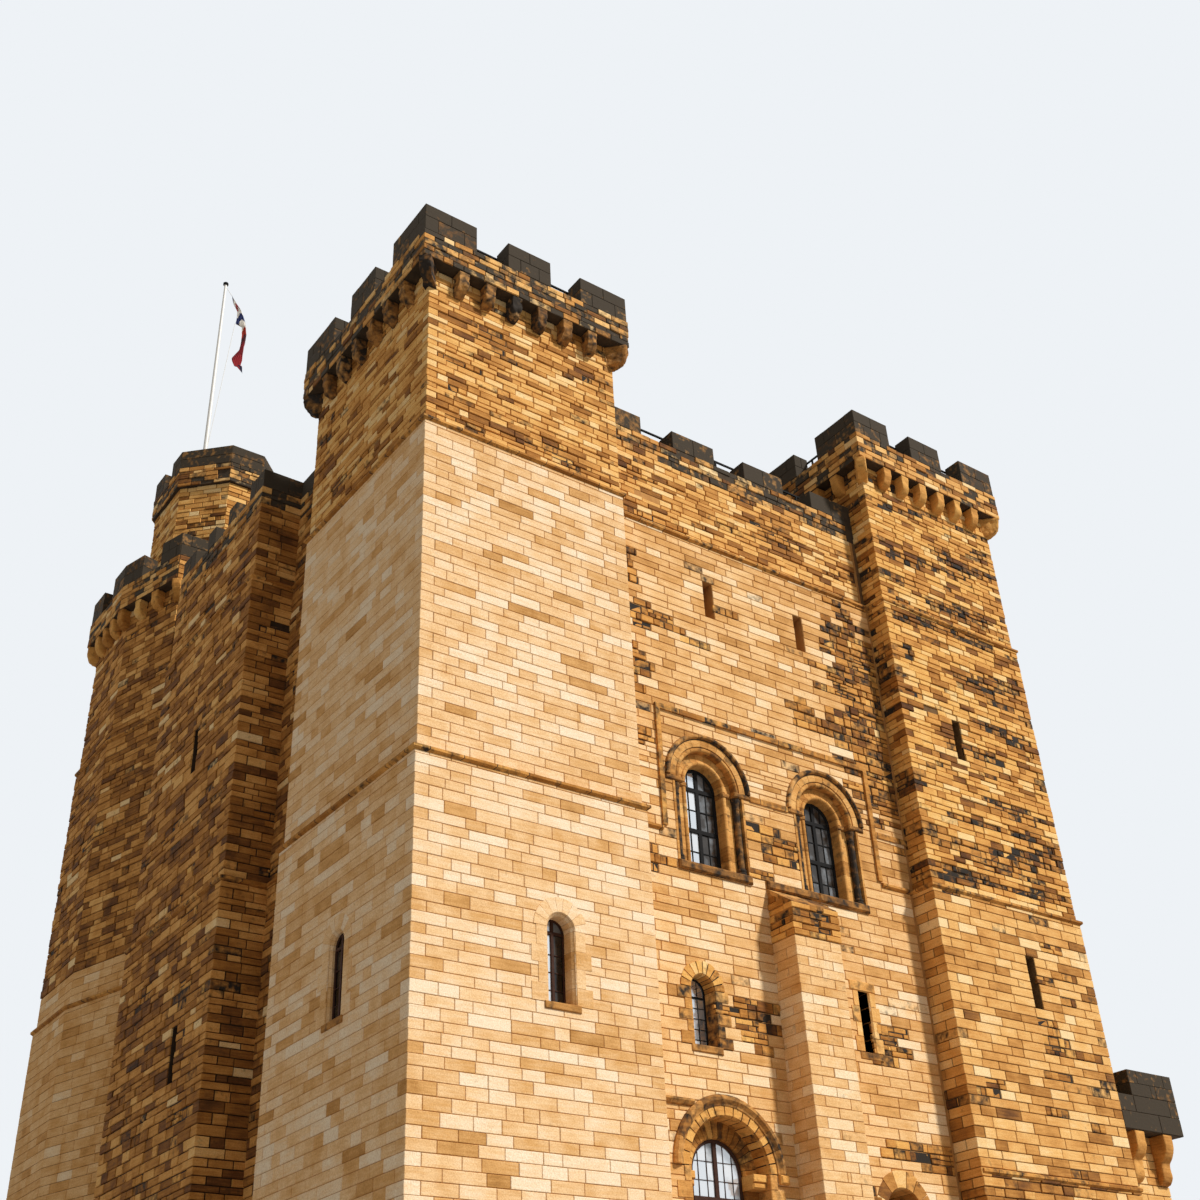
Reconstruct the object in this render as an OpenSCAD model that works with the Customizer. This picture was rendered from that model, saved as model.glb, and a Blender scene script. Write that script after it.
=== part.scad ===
// A rectangular stone keep of the late twelfth century, hollow, with four corner towers.
// Millimetres. +X runs along the south front, +Y to the north, +Z up.
// The origin is on the ground, under the middle of the keep.

/* [Plan] */
// Width of the south wall between its towers
curtain_w = 7540; // [6800:10:8300]
// Length of the keep from south to north, over the towers
keep_l = 18900; // [18000:100:21000]
// Width of the south-west tower along the south front
sw_tower_w = 4830; // [4500:10:5100]
// Width of the two east towers
east_tower_w = 4730; // [4400:10:5000]
// Length of the two south towers along the side fronts
south_tower_l = 5100; // [4700:10:5400]
// Length of the two north towers along the side fronts
north_tower_l = 4950; // [4700:10:5200]
// How far the long walls stand back behind the towers
recess = 580; // [450:10:700]
// Thickness of the tower walls
tower_wall = 1300; // [1000:50:1400]
// How far the north-west tower bulges past the keep's lines
bulge = 240; // [150:10:320]
// How far its first facet starts inside the keep's lines
facet_in = 400; // [300:10:500]
// Length of its first facet along the front
facet_run = 2210; // [2000:10:2400]
// Length of its middle facet
facet_w = 2380; // [2200:10:2500]

/* [Levels] */
// Height of the splayed plinth
plinth_h = 1500; // [900:50:2000]
// How far the foot of the plinth stands out
plinth_out = 350; // [200:10:400]
// Height of the low string course of the south-east corner
low_string_z = 7300; // [7200:10:7500]
// Height of the main string course
string_z = 13000; // [12700:50:13300]
// Height of the upper set-off
offset_z = 20100; // [19700:50:20500]
// How far each stage of the walls steps back
setback = 60; // [40:5:90]
// Height of the wall-walk over the upper set-off
walk_up = 1900; // [1700:10:2100]
// Height of the tower corbels' feet over the wall-walk
corbel_up = 1510; // [1350:10:1700]
// Thickness of a floor
floor_t = 300; // [200:10:450]
// Top of the ground floor
ground_floor_z = 300; // [200:10:500]
// Top of the first floor
first_floor_z = 4300; // [4000:50:4600]
// Top of the second floor
second_floor_z = 8300; // [7800:50:8600]
// Top of the hall floor
hall_floor_z = 11500; // [11300:50:11900]
// How much lower the rooms of the east towers lie at that level, under their low loops
east_drop = 1000; // [900:10:1100]

/* [Mouldings] */
// How far a string course stands out
string_out = 70; // [40:5:100]
// Height of a string course
string_h = 140; // [100:10:200]
// How far hoods and labels stand out of the wall
hood_out = 90; // [50:5:120]
// Width of a hood mould
hood_w = 190; // [120:10:220]
// Width of the label round the hall windows
label_w = 110; // [80:5:140]
// Height of the label's top over the main string course
label_up = 2620; // [2550:10:2900]
// How far the label reaches west of the west hall window
label_west = 350; // [300:10:400]
// How far the label reaches east of the east hall window
label_east = 540; // [300:10:600]
// Height of an impost
impost_h = 120; // [90:10:160]
// Height of a capital
capital_h = 260; // [200:10:320]
// Height of a base
base_h = 220; // [160:10:280]
// How far bases and capitals stand out over their shafts
shaft_lip = 15; // [10:1:20]
// Height of a hall window's sill
sill_h = 170; // [120:10:220]
// How far a sill reaches past the outer order
sill_reach = 200; // [120:10:240]

/* [Parapets] */
// Height of a tower corbel
corbel_h = 550; // [450:10:650]
// Width of a tower corbel
corbel_w = 270; // [200:10:340]
// Overhang of the tower parapets
overhang = 300; // [250:10:350]
// Height of the tower parapets below their crenels
breast_h = 750; // [600:10:900]
// Height of a tower merlon
merlon_h = 720; // [500:10:900]
// Width of a tower crenel
crenel_w = 820; // [600:10:900]
// Width of the middle merlon of a tower side
merlon_w = 1080; // [900:10:1200]
// Thickness of a parapet
parapet_t = 450; // [400:10:550]
// Narrowest merlon beside a crenel of a tower
corner_merlon_w = 440; // [350:10:500]
// Distance between the middles of two tower corbels
corbel_gap = 660; // [600:10:900]
// Height of the crenel sills of the long walls over their walk
wall_breast_h = 600; // [500:10:700]
// Height of the merlons of the long walls
wall_merlon_h = 500; // [400:10:600]
// Width of the crenels of the south and east walls
wall_crenel_w = 930; // [800:10:1000]
// Distance between the middles of two of those crenels
wall_crenel_gap = 2140; // [1950:10:2300]
// Width of the crenels of the side piers
pier_crenel_w = 800; // [650:10:900]
// Distance between the middles of two of those crenels
pier_crenel_gap = 1215; // [1100:5:1300]
// Thickness of a railing bar
rail_t = 40; // [25:1:60]
// Greatest distance between two railing posts
post_gap = 1500; // [1200:50:1800]
// Height of the wall railings over the merlon tops
rail_up = 150; // [50:10:300]

/* [Piers] */
// How far the side piers stand out past the towers
pier_out = 400; // [200:10:500]
// Width of a side pier
pier_w = 4930; // [4500:10:5200]
// Distance of the west pier from the south front
pier_y = 6850; // [6600:10:7100]
// Distance of the west side of the south buttress from the middle of the south wall
buttress_west = 430; // [350:10:500]
// Width of the south buttress
buttress_w = 1150; // [1000:10:1250]
// How far the south buttress stands out of the wall
buttress_d = 630; // [500:10:700]
// How far the front edge of the buttress top lies below the main string course
buttress_down = 1250; // [1200:10:1500]
// Rise of the buttress top from its front edge to the wall
buttress_rise = 440; // [300:10:450]

/* [Hall windows] */
// Distance of the west hall window from the middle of the south wall
hall_window_west = 1720; // [1600:10:1800]
// Distance of the east hall window from the middle of the south wall
hall_window_east = 1430; // [1350:10:1550]
// Depth of the hall window sills below the main string course
hall_sill_down = 630; // [550:10:660]
// Height of the hall windows' jambs
hall_jamb_h = 1750; // [1600:10:1850]
// Distance between the middles of the two hall windows of the east wall
east_window_gap = 3600; // [3000:10:4200]
// Radius of the outer order of a hall window
outer_order_r = 880; // [850:10:900]
// Radius of the inner order of a hall window
inner_order_r = 560; // [500:10:580]
// Depth of the outer order
outer_order_d = 330; // [280:10:380]
// Depth of the glass behind the wall face
glass_d = 700; // [600:10:900]
// Thickness of the glass with its leads
glass_t = 30; // [20:1:50]
// Radius of a nook shaft
shaft_r = 95; // [70:5:105]

/* [Low windows] */
// Distance of the low arched window from the middle of the south wall, to the west
low_window_west = 1980; // [1900:10:2050]
// Height of its sill
low_sill_z = 4900; // [4700:10:5200]
// Height at which its arch springs
low_spring_z = 6870; // [6700:10:7000]
// Radius of its outer order
low_outer_r = 880; // [800:10:900]
// Radius of its inner order
low_inner_r = 600; // [500:10:650]
// Depth of its outer order
low_order_d = 420; // [350:10:480]
// Width of the ring of stones between its outer order and its hood
low_ring_w = 180; // [140:10:220]
// Half width of the small round-headed windows
small_r = 270; // [200:10:300]
// Depth of the glass in the south-west tower's windows
sw_glass_d = 250; // [150:10:350]
// Width of an arrow loop
loop_w = 260; // [160:10:300]
// Half width of the small low doorway
postern_r = 450; // [380:10:500]

/* [Stair cap] */
// Length of the cap's long sides
cap_side = 1850; // [1500:10:1900]
// Length of its short sides
cap_front = 900; // [700:10:1000]
// Length of its corner facets
cap_facet = 1470; // [1200:10:1500]
// Thickness of its wall
cap_wall = 350; // [250:10:450]
// Distance of its west side from the west front
cap_x = 540; // [450:10:700]
// Height of its merlon tops over the tower's deck
cap_h = 5290; // [4900:10:5500]
// Height of its parapet
cap_parapet_h = 1300; // [1000:10:1400]
// Overhang of its parapet
cap_out = 110; // [60:10:150]
// Width of the cap's crenels
cap_crenel_w = 620; // [500:10:700]
// Height of the cap's merlons
cap_merlon_h = 620; // [500:10:700]
// Width of the cap's doorway
cap_door_w = 760; // [650:10:850]
// Height of the cap's doorway
cap_door_h = 2000; // [1850:10:2200]
// Length of the flagpole above the cap's deck
pole_l = 8780; // [7000:20:9300]
// Radius of the flagpole at its foot
pole_r = 70; // [50:5:90]
// Distance of the flagpole from the cap's west side
pole_in = 670; // [600:10:900]
// Distance of the flagpole south of the cap's middle
pole_s = 630; // [500:10:700]
// Radius of the rope
rope_r = 8; // [5:1:12]
// Height of the rope's foot above the cap's deck
cleat_z = 1300; // [1000:10:1800]

/* [Forebuilding] */
// Width of the forebuilding
fore_w = 3200; // [2900:10:3500]
// Its distance from the south front
fore_y = 1450; // [1300:10:1600]
// Its length along the east front
fore_l = 6600; // [6200:50:7000]
// Height of its parapet's underside
fore_base_z = 8850; // [8700:10:9000]
// Height of its parapet below the crenels
fore_breast_h = 760; // [600:10:800]
// Height of its merlons
fore_merlon_h = 580; // [450:10:650]
// Overhang of its parapet
fore_out = 420; // [350:10:450]
// Thickness of its parapet
fore_parapet_t = 600; // [550:10:700]
// Width of its merlons
fore_merlon_w = 1580; // [1300:10:1700]
// Width of its crenels
fore_crenel_w = 800; // [600:10:900]
// Width of its corbels
fore_corbel_w = 340; // [280:10:400]
// Height of its corbels
fore_corbel_h = 1050; // [900:10:1200]
// Distance between the middles of two of its corbels
fore_corbel_gap = 1000; // [800:10:1200]
// Thickness of its walls
fore_wall = 900; // [750:10:1000]
// Half width of its doorway
door_r = 600; // [500:10:650]
// Height at which the doorway arches spring
door_spring_z = 2300; // [2000:50:2500]

/* [Hidden] */
$fn = 48;
eps = 1;

// Lines of the plan, with the origin under the middle of the keep
keep_w = sw_tower_w + curtain_w + east_tower_w;
x_w = -keep_w / 2;
x_e = keep_w / 2;
y_s = -keep_l / 2;
y_n = keep_l / 2;
room_w = x_w + sw_tower_w;
room_e = x_e - east_tower_w;
room_s = y_s + south_tower_l;
room_n = y_n - north_tower_l;
mid_x = (room_w + room_e) / 2;
mid_y = (room_s + room_n) / 2;
nw_e = x_w + north_tower_l;
south_face = y_s + recess;
top_in = 2 * setback;

// Heights of the walls' and the towers' heads
walk_z = offset_z + walk_up;
wall_sill_z = walk_z + wall_breast_h;
wall_top_z = wall_sill_z + wall_merlon_h;
corbel_z = walk_z + corbel_up;
parapet_z = corbel_z + corbel_h;
tower_sill_z = parapet_z + breast_h;
tower_top_z = tower_sill_z + merlon_h;

function rect(x0, y0, x1, y1) = [[x0, y0], [x1, y0], [x1, y1], [x0, y1]];
function unit(v) = v / norm(v);
// Normal to the right of the way from a to b, which is outward on an anticlockwise outline
function right_of(a, b) = let(d = unit(b - a)) [d[1], -d[0]];
// The vector from a corner along its mitre for one unit of offset to the right
function mitre(n, m) = (n + m) / (1 + n * m);
// The outline drawn in by d, or out where d is negative
function inset(pts, d) = let(n = len(pts))
    [for (i = [0:n - 1])
        pts[i] - d * mitre(right_of(pts[(i + n - 1) % n], pts[i]),
                           right_of(pts[i], pts[(i + 1) % n]))];

sw_plan = rect(x_w, y_s, room_w, room_s);
se_plan = rect(room_e, y_s, x_e, room_s);
ne_plan = rect(room_e, room_n, x_e, y_n);

// The north-west tower bulges past the keep's lines in facets, the same on both fronts
function across(p) = [x_w + y_n - p[1], y_n + x_w - p[0]];
nw_a = [x_w + facet_in, room_n];
nw_b = [x_w - bulge, room_n + facet_run];
nw_c = [x_w - bulge, room_n + facet_run + facet_w];
nw_plan = [nw_a, [nw_e, room_n], across(nw_a), across(nw_b), across(nw_c), nw_c, nw_b];

// The open shafts inside the four towers
shafts = [
    inset(sw_plan, tower_wall), inset(se_plan, tower_wall), inset(ne_plan, tower_wall),
    rect(x_w + tower_wall, room_n + tower_wall, nw_e - tower_wall, y_n - tower_wall)
];

pier_y0 = y_s + pier_y;
pier_y1 = pier_y0 + pier_w;
pier_x0 = (nw_e + room_e - pier_w) / 2;
pier_x1 = pier_x0 + pier_w;

// The outline of the keep on the ground, from the east end of the south wall
// anticlockwise round to its west end
outline = [
    [room_e, south_face], [room_e, y_s], [x_e, y_s], [x_e, room_s], [x_e - recess, room_s],
    [x_e - recess, room_n], [x_e, room_n], [x_e, y_n], [room_e, y_n], [room_e, y_n - recess],
    [pier_x1, y_n - recess], [pier_x1, y_n + pier_out], [pier_x0, y_n + pier_out],
    [pier_x0, y_n - recess], [nw_e, y_n - recess], across(nw_a), across(nw_b), across(nw_c),
    nw_c, nw_b, nw_a, [x_w + recess, room_n], [x_w + recess, pier_y1],
    [x_w - pier_out, pier_y1], [x_w - pier_out, pier_y0], [x_w + recess, pier_y0],
    [x_w + recess, room_s], [x_w, room_s], [x_w, y_s], [room_w, y_s], [room_w, south_face]
];

fore_x = x_e + fore_w;
fore_y0 = y_s + fore_y;
fore_y1 = fore_y0 + fore_l;
fore_sill_z = fore_base_z + fore_breast_h;
fore_top_z = fore_sill_z + fore_merlon_h;

module block(x0, y0, z0, x1, y1, z1) {
    translate([x0, y0, z0]) cube([x1 - x0, y1 - y0, z1 - z0]);
}

module slab(pts, z0, z1) {
    translate([0, 0, z0]) linear_extrude(z1 - z0) polygon(pts);
}

module ring(pts, t, z0, z1) {
    difference() {
        slab(pts, z0, z1);
        slab(inset(pts, t), z0 - eps, z1 + eps);
    }
}

// A section swept along a path of straight lengths and mitred at the corners. The section's
// X points to the right of the path and its Y up, and its points go round anticlockwise.
module run_along(path, section, z, closed = false) {
    n = len(path);
    m = len(section);
    last = closed ? n - 1 : n - 2;
    corners = [
        for (i = [0:n - 1]) let(
            out_a = closed || i > 0 ? right_of(path[(i + n - 1) % n], path[i])
                                    : right_of(path[0], path[1]),
            out_b = closed || i < n - 1 ? right_of(path[i], path[(i + 1) % n]) : out_a
        ) mitre(out_a, out_b)
    ];
    points = [
        for (i = [0:n - 1]) for (s = section)
            [path[i][0] + s[0] * corners[i][0], path[i][1] + s[0] * corners[i][1], z + s[1]]
    ];
    sides = [
        for (i = [0:last]) for (j = [0:m - 1]) let(k = (i + 1) % n, l = (j + 1) % m)
            [i * m + j, i * m + l, k * m + l, k * m + j]
    ];
    ends = closed ? [] : [[for (j = [0:m - 1]) m - 1 - j], [for (j = [0:m - 1]) (n - 1) * m + j]];
    polyhedron(points, concat(sides, ends));
}

// An arched hole or pane between y0 and y1, for walls that face south or north
module arch_y(x, r, sill, spring, y0, y1) {
    block(x - r, y0, sill, x + r, y1, spring);
    translate([x, y0, spring]) rotate([-90, 0, 0]) cylinder(r = r, h = y1 - y0);
}

// The same between x0 and x1, for walls that face west or east
module arch_x(y, r, sill, spring, x0, x1) {
    block(x0, y - r, sill, x1, y + r, spring);
    translate([x0, y, spring]) rotate([0, 90, 0]) cylinder(r = r, h = x1 - x0);
}

module loop_y(x, z0, z1, y0, y1) { block(x - loop_w / 2, y0, z0, x + loop_w / 2, y1, z1); }
module loop_x(y, z0, z1, x0, x1) { block(x0, y - loop_w / 2, z0, x1, y + loop_w / 2, z1); }

// Floors

// The floors in the four towers, those of the east towers lower by drop
module tower_rooms(top, thick, drop = 0) {
    for (i = [0:3]) {
        level = i == 1 || i == 2 ? top - drop : top;
        slab(shafts[i], level - thick, level);
    }
}

module floor_at(top, thick, drop = 0) {
    slab(rect(room_w, room_s, room_e, room_n), top - thick, top);
    tower_rooms(top, thick, drop);
}

module ground_floor() { color("tan") floor_at(ground_floor_z, ground_floor_z); }
module first_floor() { color("tan") floor_at(first_floor_z, floor_t); }
module second_floor() { color("tan") floor_at(second_floor_z, floor_t); }
module hall_floor() { color("tan") floor_at(hall_floor_z, floor_t, east_drop); }

module roof_deck() {
    color("dimgray") slab(rect(room_w, room_s, room_e, room_n), walk_z - floor_t, walk_z);
}

module tower_decks() { color("dimgray") tower_rooms(parapet_z, floor_t); }

// Towers: three stages that step back on their free faces, round an open shaft.
// Behind the faces of the long walls each one is solid to its corner.

function sw_core(s) = rect(x_w + recess + s, y_s + recess + s, room_w, room_s);
function se_core(s) = rect(room_e, y_s + recess + s, x_e - recess - s, room_s);
function ne_core(s) = rect(room_e, room_n, x_e - recess - s, y_n - recess - s);
function nw_core(s) = rect(x_w + recess + s, room_n, nw_e, y_n - recess - s);

module tower(plan, shaft, cores) {
    difference() {
        union() {
            slab(plan, 0, string_z);
            slab(inset(plan, setback), string_z, offset_z);
            slab(inset(plan, top_in), offset_z, parapet_z);
            slab(cores[0], string_z, offset_z);
            slab(cores[1], offset_z, walk_z);
        }
        slab(shaft, -eps, parapet_z + eps);
    }
}

sw_window_x = room_w - 2000;
sw_window_y = y_s + 2500;
sw_sill_z = 9000;
sw_spring_z = 10270;
east_loop_x1 = room_e + 2710;
east_loop_x2 = room_e + 1810;
low_loop = [10700, 11830];
high_loop = [16300, 17300];

module sw_tower() {
    color("burlywood") difference() {
        tower(sw_plan, shafts[0], [sw_core(setback), sw_core(top_in)]);
        arch_y(sw_window_x, small_r, sw_sill_z, sw_spring_z, y_s - eps, y_s + tower_wall + eps);
        arch_x(sw_window_y, small_r, sw_sill_z, sw_spring_z, x_w - eps, x_w + tower_wall + eps);
    }
}

module east_tower_loops(y0, y1) {
    loop_y(east_loop_x1, low_loop[0], low_loop[1], y0, y1);
    loop_y(east_loop_x2, high_loop[0], high_loop[1], y0, y1);
}

module se_tower() {
    color("burlywood") difference() {
        tower(se_plan, shafts[1], [se_core(setback), se_core(top_in)]);
        east_tower_loops(y_s - eps, y_s + tower_wall + eps);
    }
}

module ne_tower() {
    color("burlywood") difference() {
        tower(ne_plan, shafts[2], [ne_core(setback), ne_core(top_in)]);
        east_tower_loops(y_n - tower_wall - eps, y_n + eps);
    }
}

module nw_tower() {
    color("burlywood") tower(nw_plan, shafts[3], [nw_core(setback), nw_core(top_in)]);
}

// Long walls between the towers

// A long wall above the main string course, in two stages
module upper_wall(mid, high) {
    slab(mid, string_z, offset_z);
    slab(high, offset_z, walk_z);
}

hall_sill_z = string_z - hall_sill_down;
hall_spring_z = hall_sill_z + hall_jamb_h;
hall_xs = [mid_x - hall_window_west, mid_x + hall_window_east];
loop_xs = [hall_xs[0] + 500, hall_xs[1] - 30];
upper_loop = [18150, 19050];
small_x = mid_x - 2280;
small_sill_z = 8920;
small_spring_z = 9950;
slot_x = mid_x + 1830;
slot = [9330, 10520];
postern_x = mid_x + 2150;
postern_sill_z = 5000;
postern_spring_z = 6450;
low_x = mid_x - low_window_west;

module south_wall_holes() {
    y0 = south_face - eps;
    y1 = room_s + eps;
    for (x = hall_xs) {
        arch_y(x, outer_order_r, hall_sill_z, hall_spring_z, y0, south_face + outer_order_d);
        arch_y(x, inner_order_r, hall_sill_z, hall_spring_z, y0, y1);
    }
    arch_y(low_x, low_outer_r, low_sill_z, low_spring_z, y0, south_face + low_order_d);
    arch_y(low_x, low_inner_r, low_sill_z, low_spring_z, y0, y1);
    arch_y(small_x, small_r, small_sill_z, small_spring_z, y0, y1);
    arch_y(postern_x, postern_r, postern_sill_z, postern_spring_z, y0, y1);
    loop_y(slot_x, slot[0], slot[1], y0, y1);
    for (x = loop_xs) loop_y(x, upper_loop[0], upper_loop[1], y0, y1);
}

// The south wall has one face up to the set-off, so that the hall windows stand in one plane
module south_wall() {
    color("burlywood") difference() {
        union() {
            slab(rect(room_w, south_face, room_e, room_s), 0, offset_z);
            slab(rect(room_w - setback, south_face, room_e + setback, south_face + setback),
                 string_z, offset_z);
            slab(rect(room_w, south_face + top_in, room_e, room_s), offset_z, walk_z);
        }
        south_wall_holes();
    }
}

// The slits of a side pier: distance from the pier's edge, foot and head
slits = [[2400, 16200, 17300], [1590, 9330, 10430]];

module west_slits(x0, x1) { for (s = slits) loop_x(pier_y0 + s[0], s[1], s[2], x0, x1); }
module north_slits(y0, y1) { for (s = slits) loop_y(pier_x0 + s[0], s[1], s[2], y0, y1); }

function west_strip(s) = rect(x_w + recess + s, room_s, room_w, room_n);
function north_strip(s) = rect(nw_e, room_n, room_e, y_n - recess - s);
function east_strip(s) = rect(room_e, room_s, x_e - recess - s, room_n);

// The west and east walls are each two pieces, below and above the main string course
module west_wall_lower() {
    color("burlywood") difference() {
        slab(west_strip(0), 0, string_z);
        west_slits(x_w, room_w + eps);
    }
}

module west_wall_upper() {
    color("burlywood") difference() {
        upper_wall(west_strip(setback), west_strip(top_in));
        west_slits(x_w, room_w + eps);
    }
}

module north_wall() {
    color("burlywood") difference() {
        union() {
            slab(north_strip(0), 0, string_z);
            upper_wall(north_strip(setback), north_strip(top_in));
        }
        north_slits(room_n - eps, y_n);
    }
}

// The doorways lie halfway between the south-east tower and the forebuilding's north wall
door_y = (room_s + fore_y1 - fore_wall) / 2;
east_window_ys = [mid_y - east_window_gap / 2, mid_y + east_window_gap / 2];

module east_windows() {
    for (y = east_window_ys)
        arch_x(y, inner_order_r, hall_sill_z, hall_spring_z, room_e - eps, x_e);
}

module east_wall_lower() {
    color("burlywood") difference() {
        slab(east_strip(0), 0, string_z);
        east_windows();
        arch_x(door_y, door_r, ground_floor_z, door_spring_z, room_e - eps, x_e);
    }
}

module east_wall_upper() {
    color("burlywood") difference() {
        upper_wall(east_strip(setback), east_strip(top_in));
        east_windows();
        for (y = east_window_ys) loop_x(y, upper_loop[0], upper_loop[1], room_e - eps, x_e);
    }
}

// Piers and the buttress

// One pier for a front that faces -X: each stage steps back, and so does its seat on the wall
module pier() {
    stages = [[0, 0, string_z], [setback, string_z, offset_z], [top_in, offset_z, walk_z]];
    for (st = stages) block(st[0] - pier_out, st[0], st[1], st[0] + recess, pier_w - st[0], st[2]);
}

module west_pier() {
    color("peru") difference() {
        translate([x_w, pier_y0, 0]) pier();
        west_slits(x_w - pier_out - eps, x_w + recess + top_in + eps);
    }
}

module north_pier() {
    color("peru") difference() {
        translate([pier_x0, y_n, 0]) rotate([0, 0, -90]) pier();
        north_slits(y_n - recess - top_in - eps, y_n + pier_out + eps);
    }
}

buttress_x0 = mid_x - buttress_west;
buttress_x1 = buttress_x0 + buttress_w;
buttress_z = string_z - buttress_down;

module south_buttress() {
    color("burlywood") translate([buttress_x0, south_face, 0])
        rotate([90, 0, 90]) linear_extrude(buttress_w)
            polygon([[0, 0], [0, buttress_z + buttress_rise], [-buttress_d, buttress_z],
                     [-buttress_d, 0]]);
}

// Plinth and string courses

// The plinth goes round the keep in four lengths, each with a flat foot and a slope above
plinth_foot_h = 0.35 * plinth_h;
plinth_section = [[0, 0], [plinth_out, 0], [plinth_out, plinth_foot_h], [0, plinth_h]];

// The points of the outline from number a to number b, between two ends
function stretch(first, a, b, last) = concat([first], [for (i = [a:b]) outline[i]], [last]);

sw_split = [x_w, (y_s + room_s) / 2];
nw_split = (nw_c + across(nw_c)) / 2;
ne_split = [x_e, (room_n + y_n) / 2];

module plinth_length(path) { color("darkkhaki") run_along(path, plinth_section, 0); }

module south_plinth() {
    plinth_length([[buttress_x1, south_face], [room_e, south_face], [room_e, y_s],
                   [x_e, y_s], [x_e, fore_y0]]);
    plinth_length([sw_split, [x_w, y_s], [room_w, y_s], [room_w, south_face],
                   [buttress_x0, south_face]]);
}

module west_plinth() { plinth_length(stretch(nw_split, 18, 27, sw_split)); }
module north_plinth() { plinth_length(stretch(ne_split, 7, 17, nw_split)); }

module east_plinth() {
    plinth_length([[x_e - recess, fore_y1], [x_e - recess, room_n], [x_e, room_n], ne_split]);
}

// A string with a chamfer below and a slope above
string_section = [
    [0, -string_h], [string_out, -0.6 * string_h], [string_out, -0.25 * string_h], [0, 0]
];

// The string at the upper set-off keeps to the south wall's face, which steps back only there
inner_outline = inset(outline, setback);
upper_string_path = concat(
    [[room_e + setback, south_face]],
    [for (i = [1:len(outline) - 2]) inner_outline[i]],
    [[room_w - setback, south_face]]
);

label_x0 = hall_xs[0] - outer_order_r - label_west;
label_x1 = hall_xs[1] + outer_order_r + label_east;
label_z = string_z + label_up;

module string_courses() {
    color("sienna") {
        run_along(concat([[label_x1, south_face]], outline, [[label_x0, south_face]]),
                  string_section, string_z);
        run_along(upper_string_path, string_section, offset_z, closed = true);
        run_along([[room_e, y_s], [x_e, y_s], [x_e, fore_y0]], string_section, low_string_z);
    }
}

// Dressings of the windows

// A half ring on a south wall, its section drawn as radius and depth out of the wall
module arch_ring(x, spring, y, section) {
    translate([x, y, spring]) rotate([90, 0, 0]) rotate_extrude(angle = 180) polygon(section);
}

sill_out = 0.7 * hood_out;
impost_out = 0.5 * hood_out;
block_r = shaft_r + shaft_lip;
shaft_x = outer_order_r - block_r;
shaft_y = south_face + outer_order_d - block_r;

module nook_shaft(x) {
    low = hall_sill_z + base_h;
    high = hall_spring_z - impost_h - capital_h;
    flare_r = shaft_r + 0.8 * shaft_lip;
    block(x - block_r, shaft_y - block_r, hall_sill_z,
          x + block_r, shaft_y + block_r, hall_sill_z + 0.5 * base_h);
    translate([x, shaft_y, hall_sill_z + 0.5 * base_h])
        cylinder(r1 = flare_r, r2 = shaft_r, h = 0.5 * base_h);
    translate([x, shaft_y, low]) cylinder(r = shaft_r, h = high - low);
    translate([x, shaft_y, high]) cylinder(r1 = shaft_r, r2 = flare_r, h = capital_h);
}

// The arch roll fills the corner of the outer order with a three-quarter round
module order_roll(x) {
    translate([x, shaft_y, hall_spring_z]) rotate([90, 0, 0]) rotate_extrude(angle = 180)
        translate([shaft_x, 0]) {
            circle(r = shaft_r);
            translate([0, -block_r]) square([block_r, block_r]);
        }
}

hood_section = [[outer_order_r, 0], [outer_order_r + hood_w, 0],
                [outer_order_r + hood_w, 0.45 * hood_out], [outer_order_r + 0.6 * hood_w, hood_out],
                [outer_order_r + 0.25 * hood_w, hood_out], [outer_order_r, 0.3 * hood_out]];

module impost(x, side) {
    x0 = x + side * inner_order_r;
    x1 = x + side * (outer_order_r + hood_w);
    block(min(x0, x1), south_face - impost_out, hall_spring_z - impost_h,
          max(x0, x1), south_face, hall_spring_z);
    x2 = x + side * outer_order_r;
    block(min(x0, x2), south_face, hall_spring_z - impost_h,
          max(x0, x2), south_face + outer_order_d, hall_spring_z);
}

module hall_window_surround(x) {
    arch_ring(x, hall_spring_z, south_face, hood_section);
    order_roll(x);
    for (side = [-1, 1]) {
        nook_shaft(x + side * shaft_x);
        impost(x, side);
    }
    reach = outer_order_r + sill_reach;
    block(x - reach, south_face - sill_out, hall_sill_z - sill_h,
          x + reach, south_face, hall_sill_z);
}

module hall_window_surrounds() {
    color("burlywood") for (x = hall_xs) hall_window_surround(x);
}

// Label over both windows and the string between their imposts
module label_moulding() {
    color("burlywood") {
        difference() {
            block(label_x0, south_face - sill_out, string_z, label_x1, south_face, label_z);
            block(label_x0 + label_w, south_face - hood_out - eps, string_z - eps,
                  label_x1 - label_w, south_face + eps, label_z - label_w);
        }
        x0 = hall_xs[0] + outer_order_r + hood_w;
        x1 = hall_xs[1] - outer_order_r - hood_w;
        block(x0, south_face - impost_out, hall_spring_z - impost_h,
              x1, south_face, hall_spring_z);
        block(label_x1, south_face - impost_out, hall_spring_z - impost_h,
              room_e + setback, south_face, hall_spring_z);
    }
}

low_hood_r = low_outer_r + low_ring_w;
low_hood_section = [[low_hood_r, 0], [low_hood_r + hood_w, 0],
                    [low_hood_r + hood_w, 0.6 * hood_out],
                    [low_hood_r + 0.65 * hood_w, 1.2 * hood_out], [low_hood_r, 0.5 * hood_out]];
low_impost_h = 2 * impost_h;
low_impost_in = 60;

module low_window_hood() {
    color("burlywood") {
        arch_ring(low_x, low_spring_z, south_face, low_hood_section);
        for (side = [-1, 1]) {
            x0 = low_x + side * low_inner_r;
            x1 = low_x + side * low_outer_r;
            block(min(x0, x1), south_face + low_impost_in, low_spring_z - low_impost_h,
                  max(x0, x1), south_face + low_order_d, low_spring_z);
        }
    }
}

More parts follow.
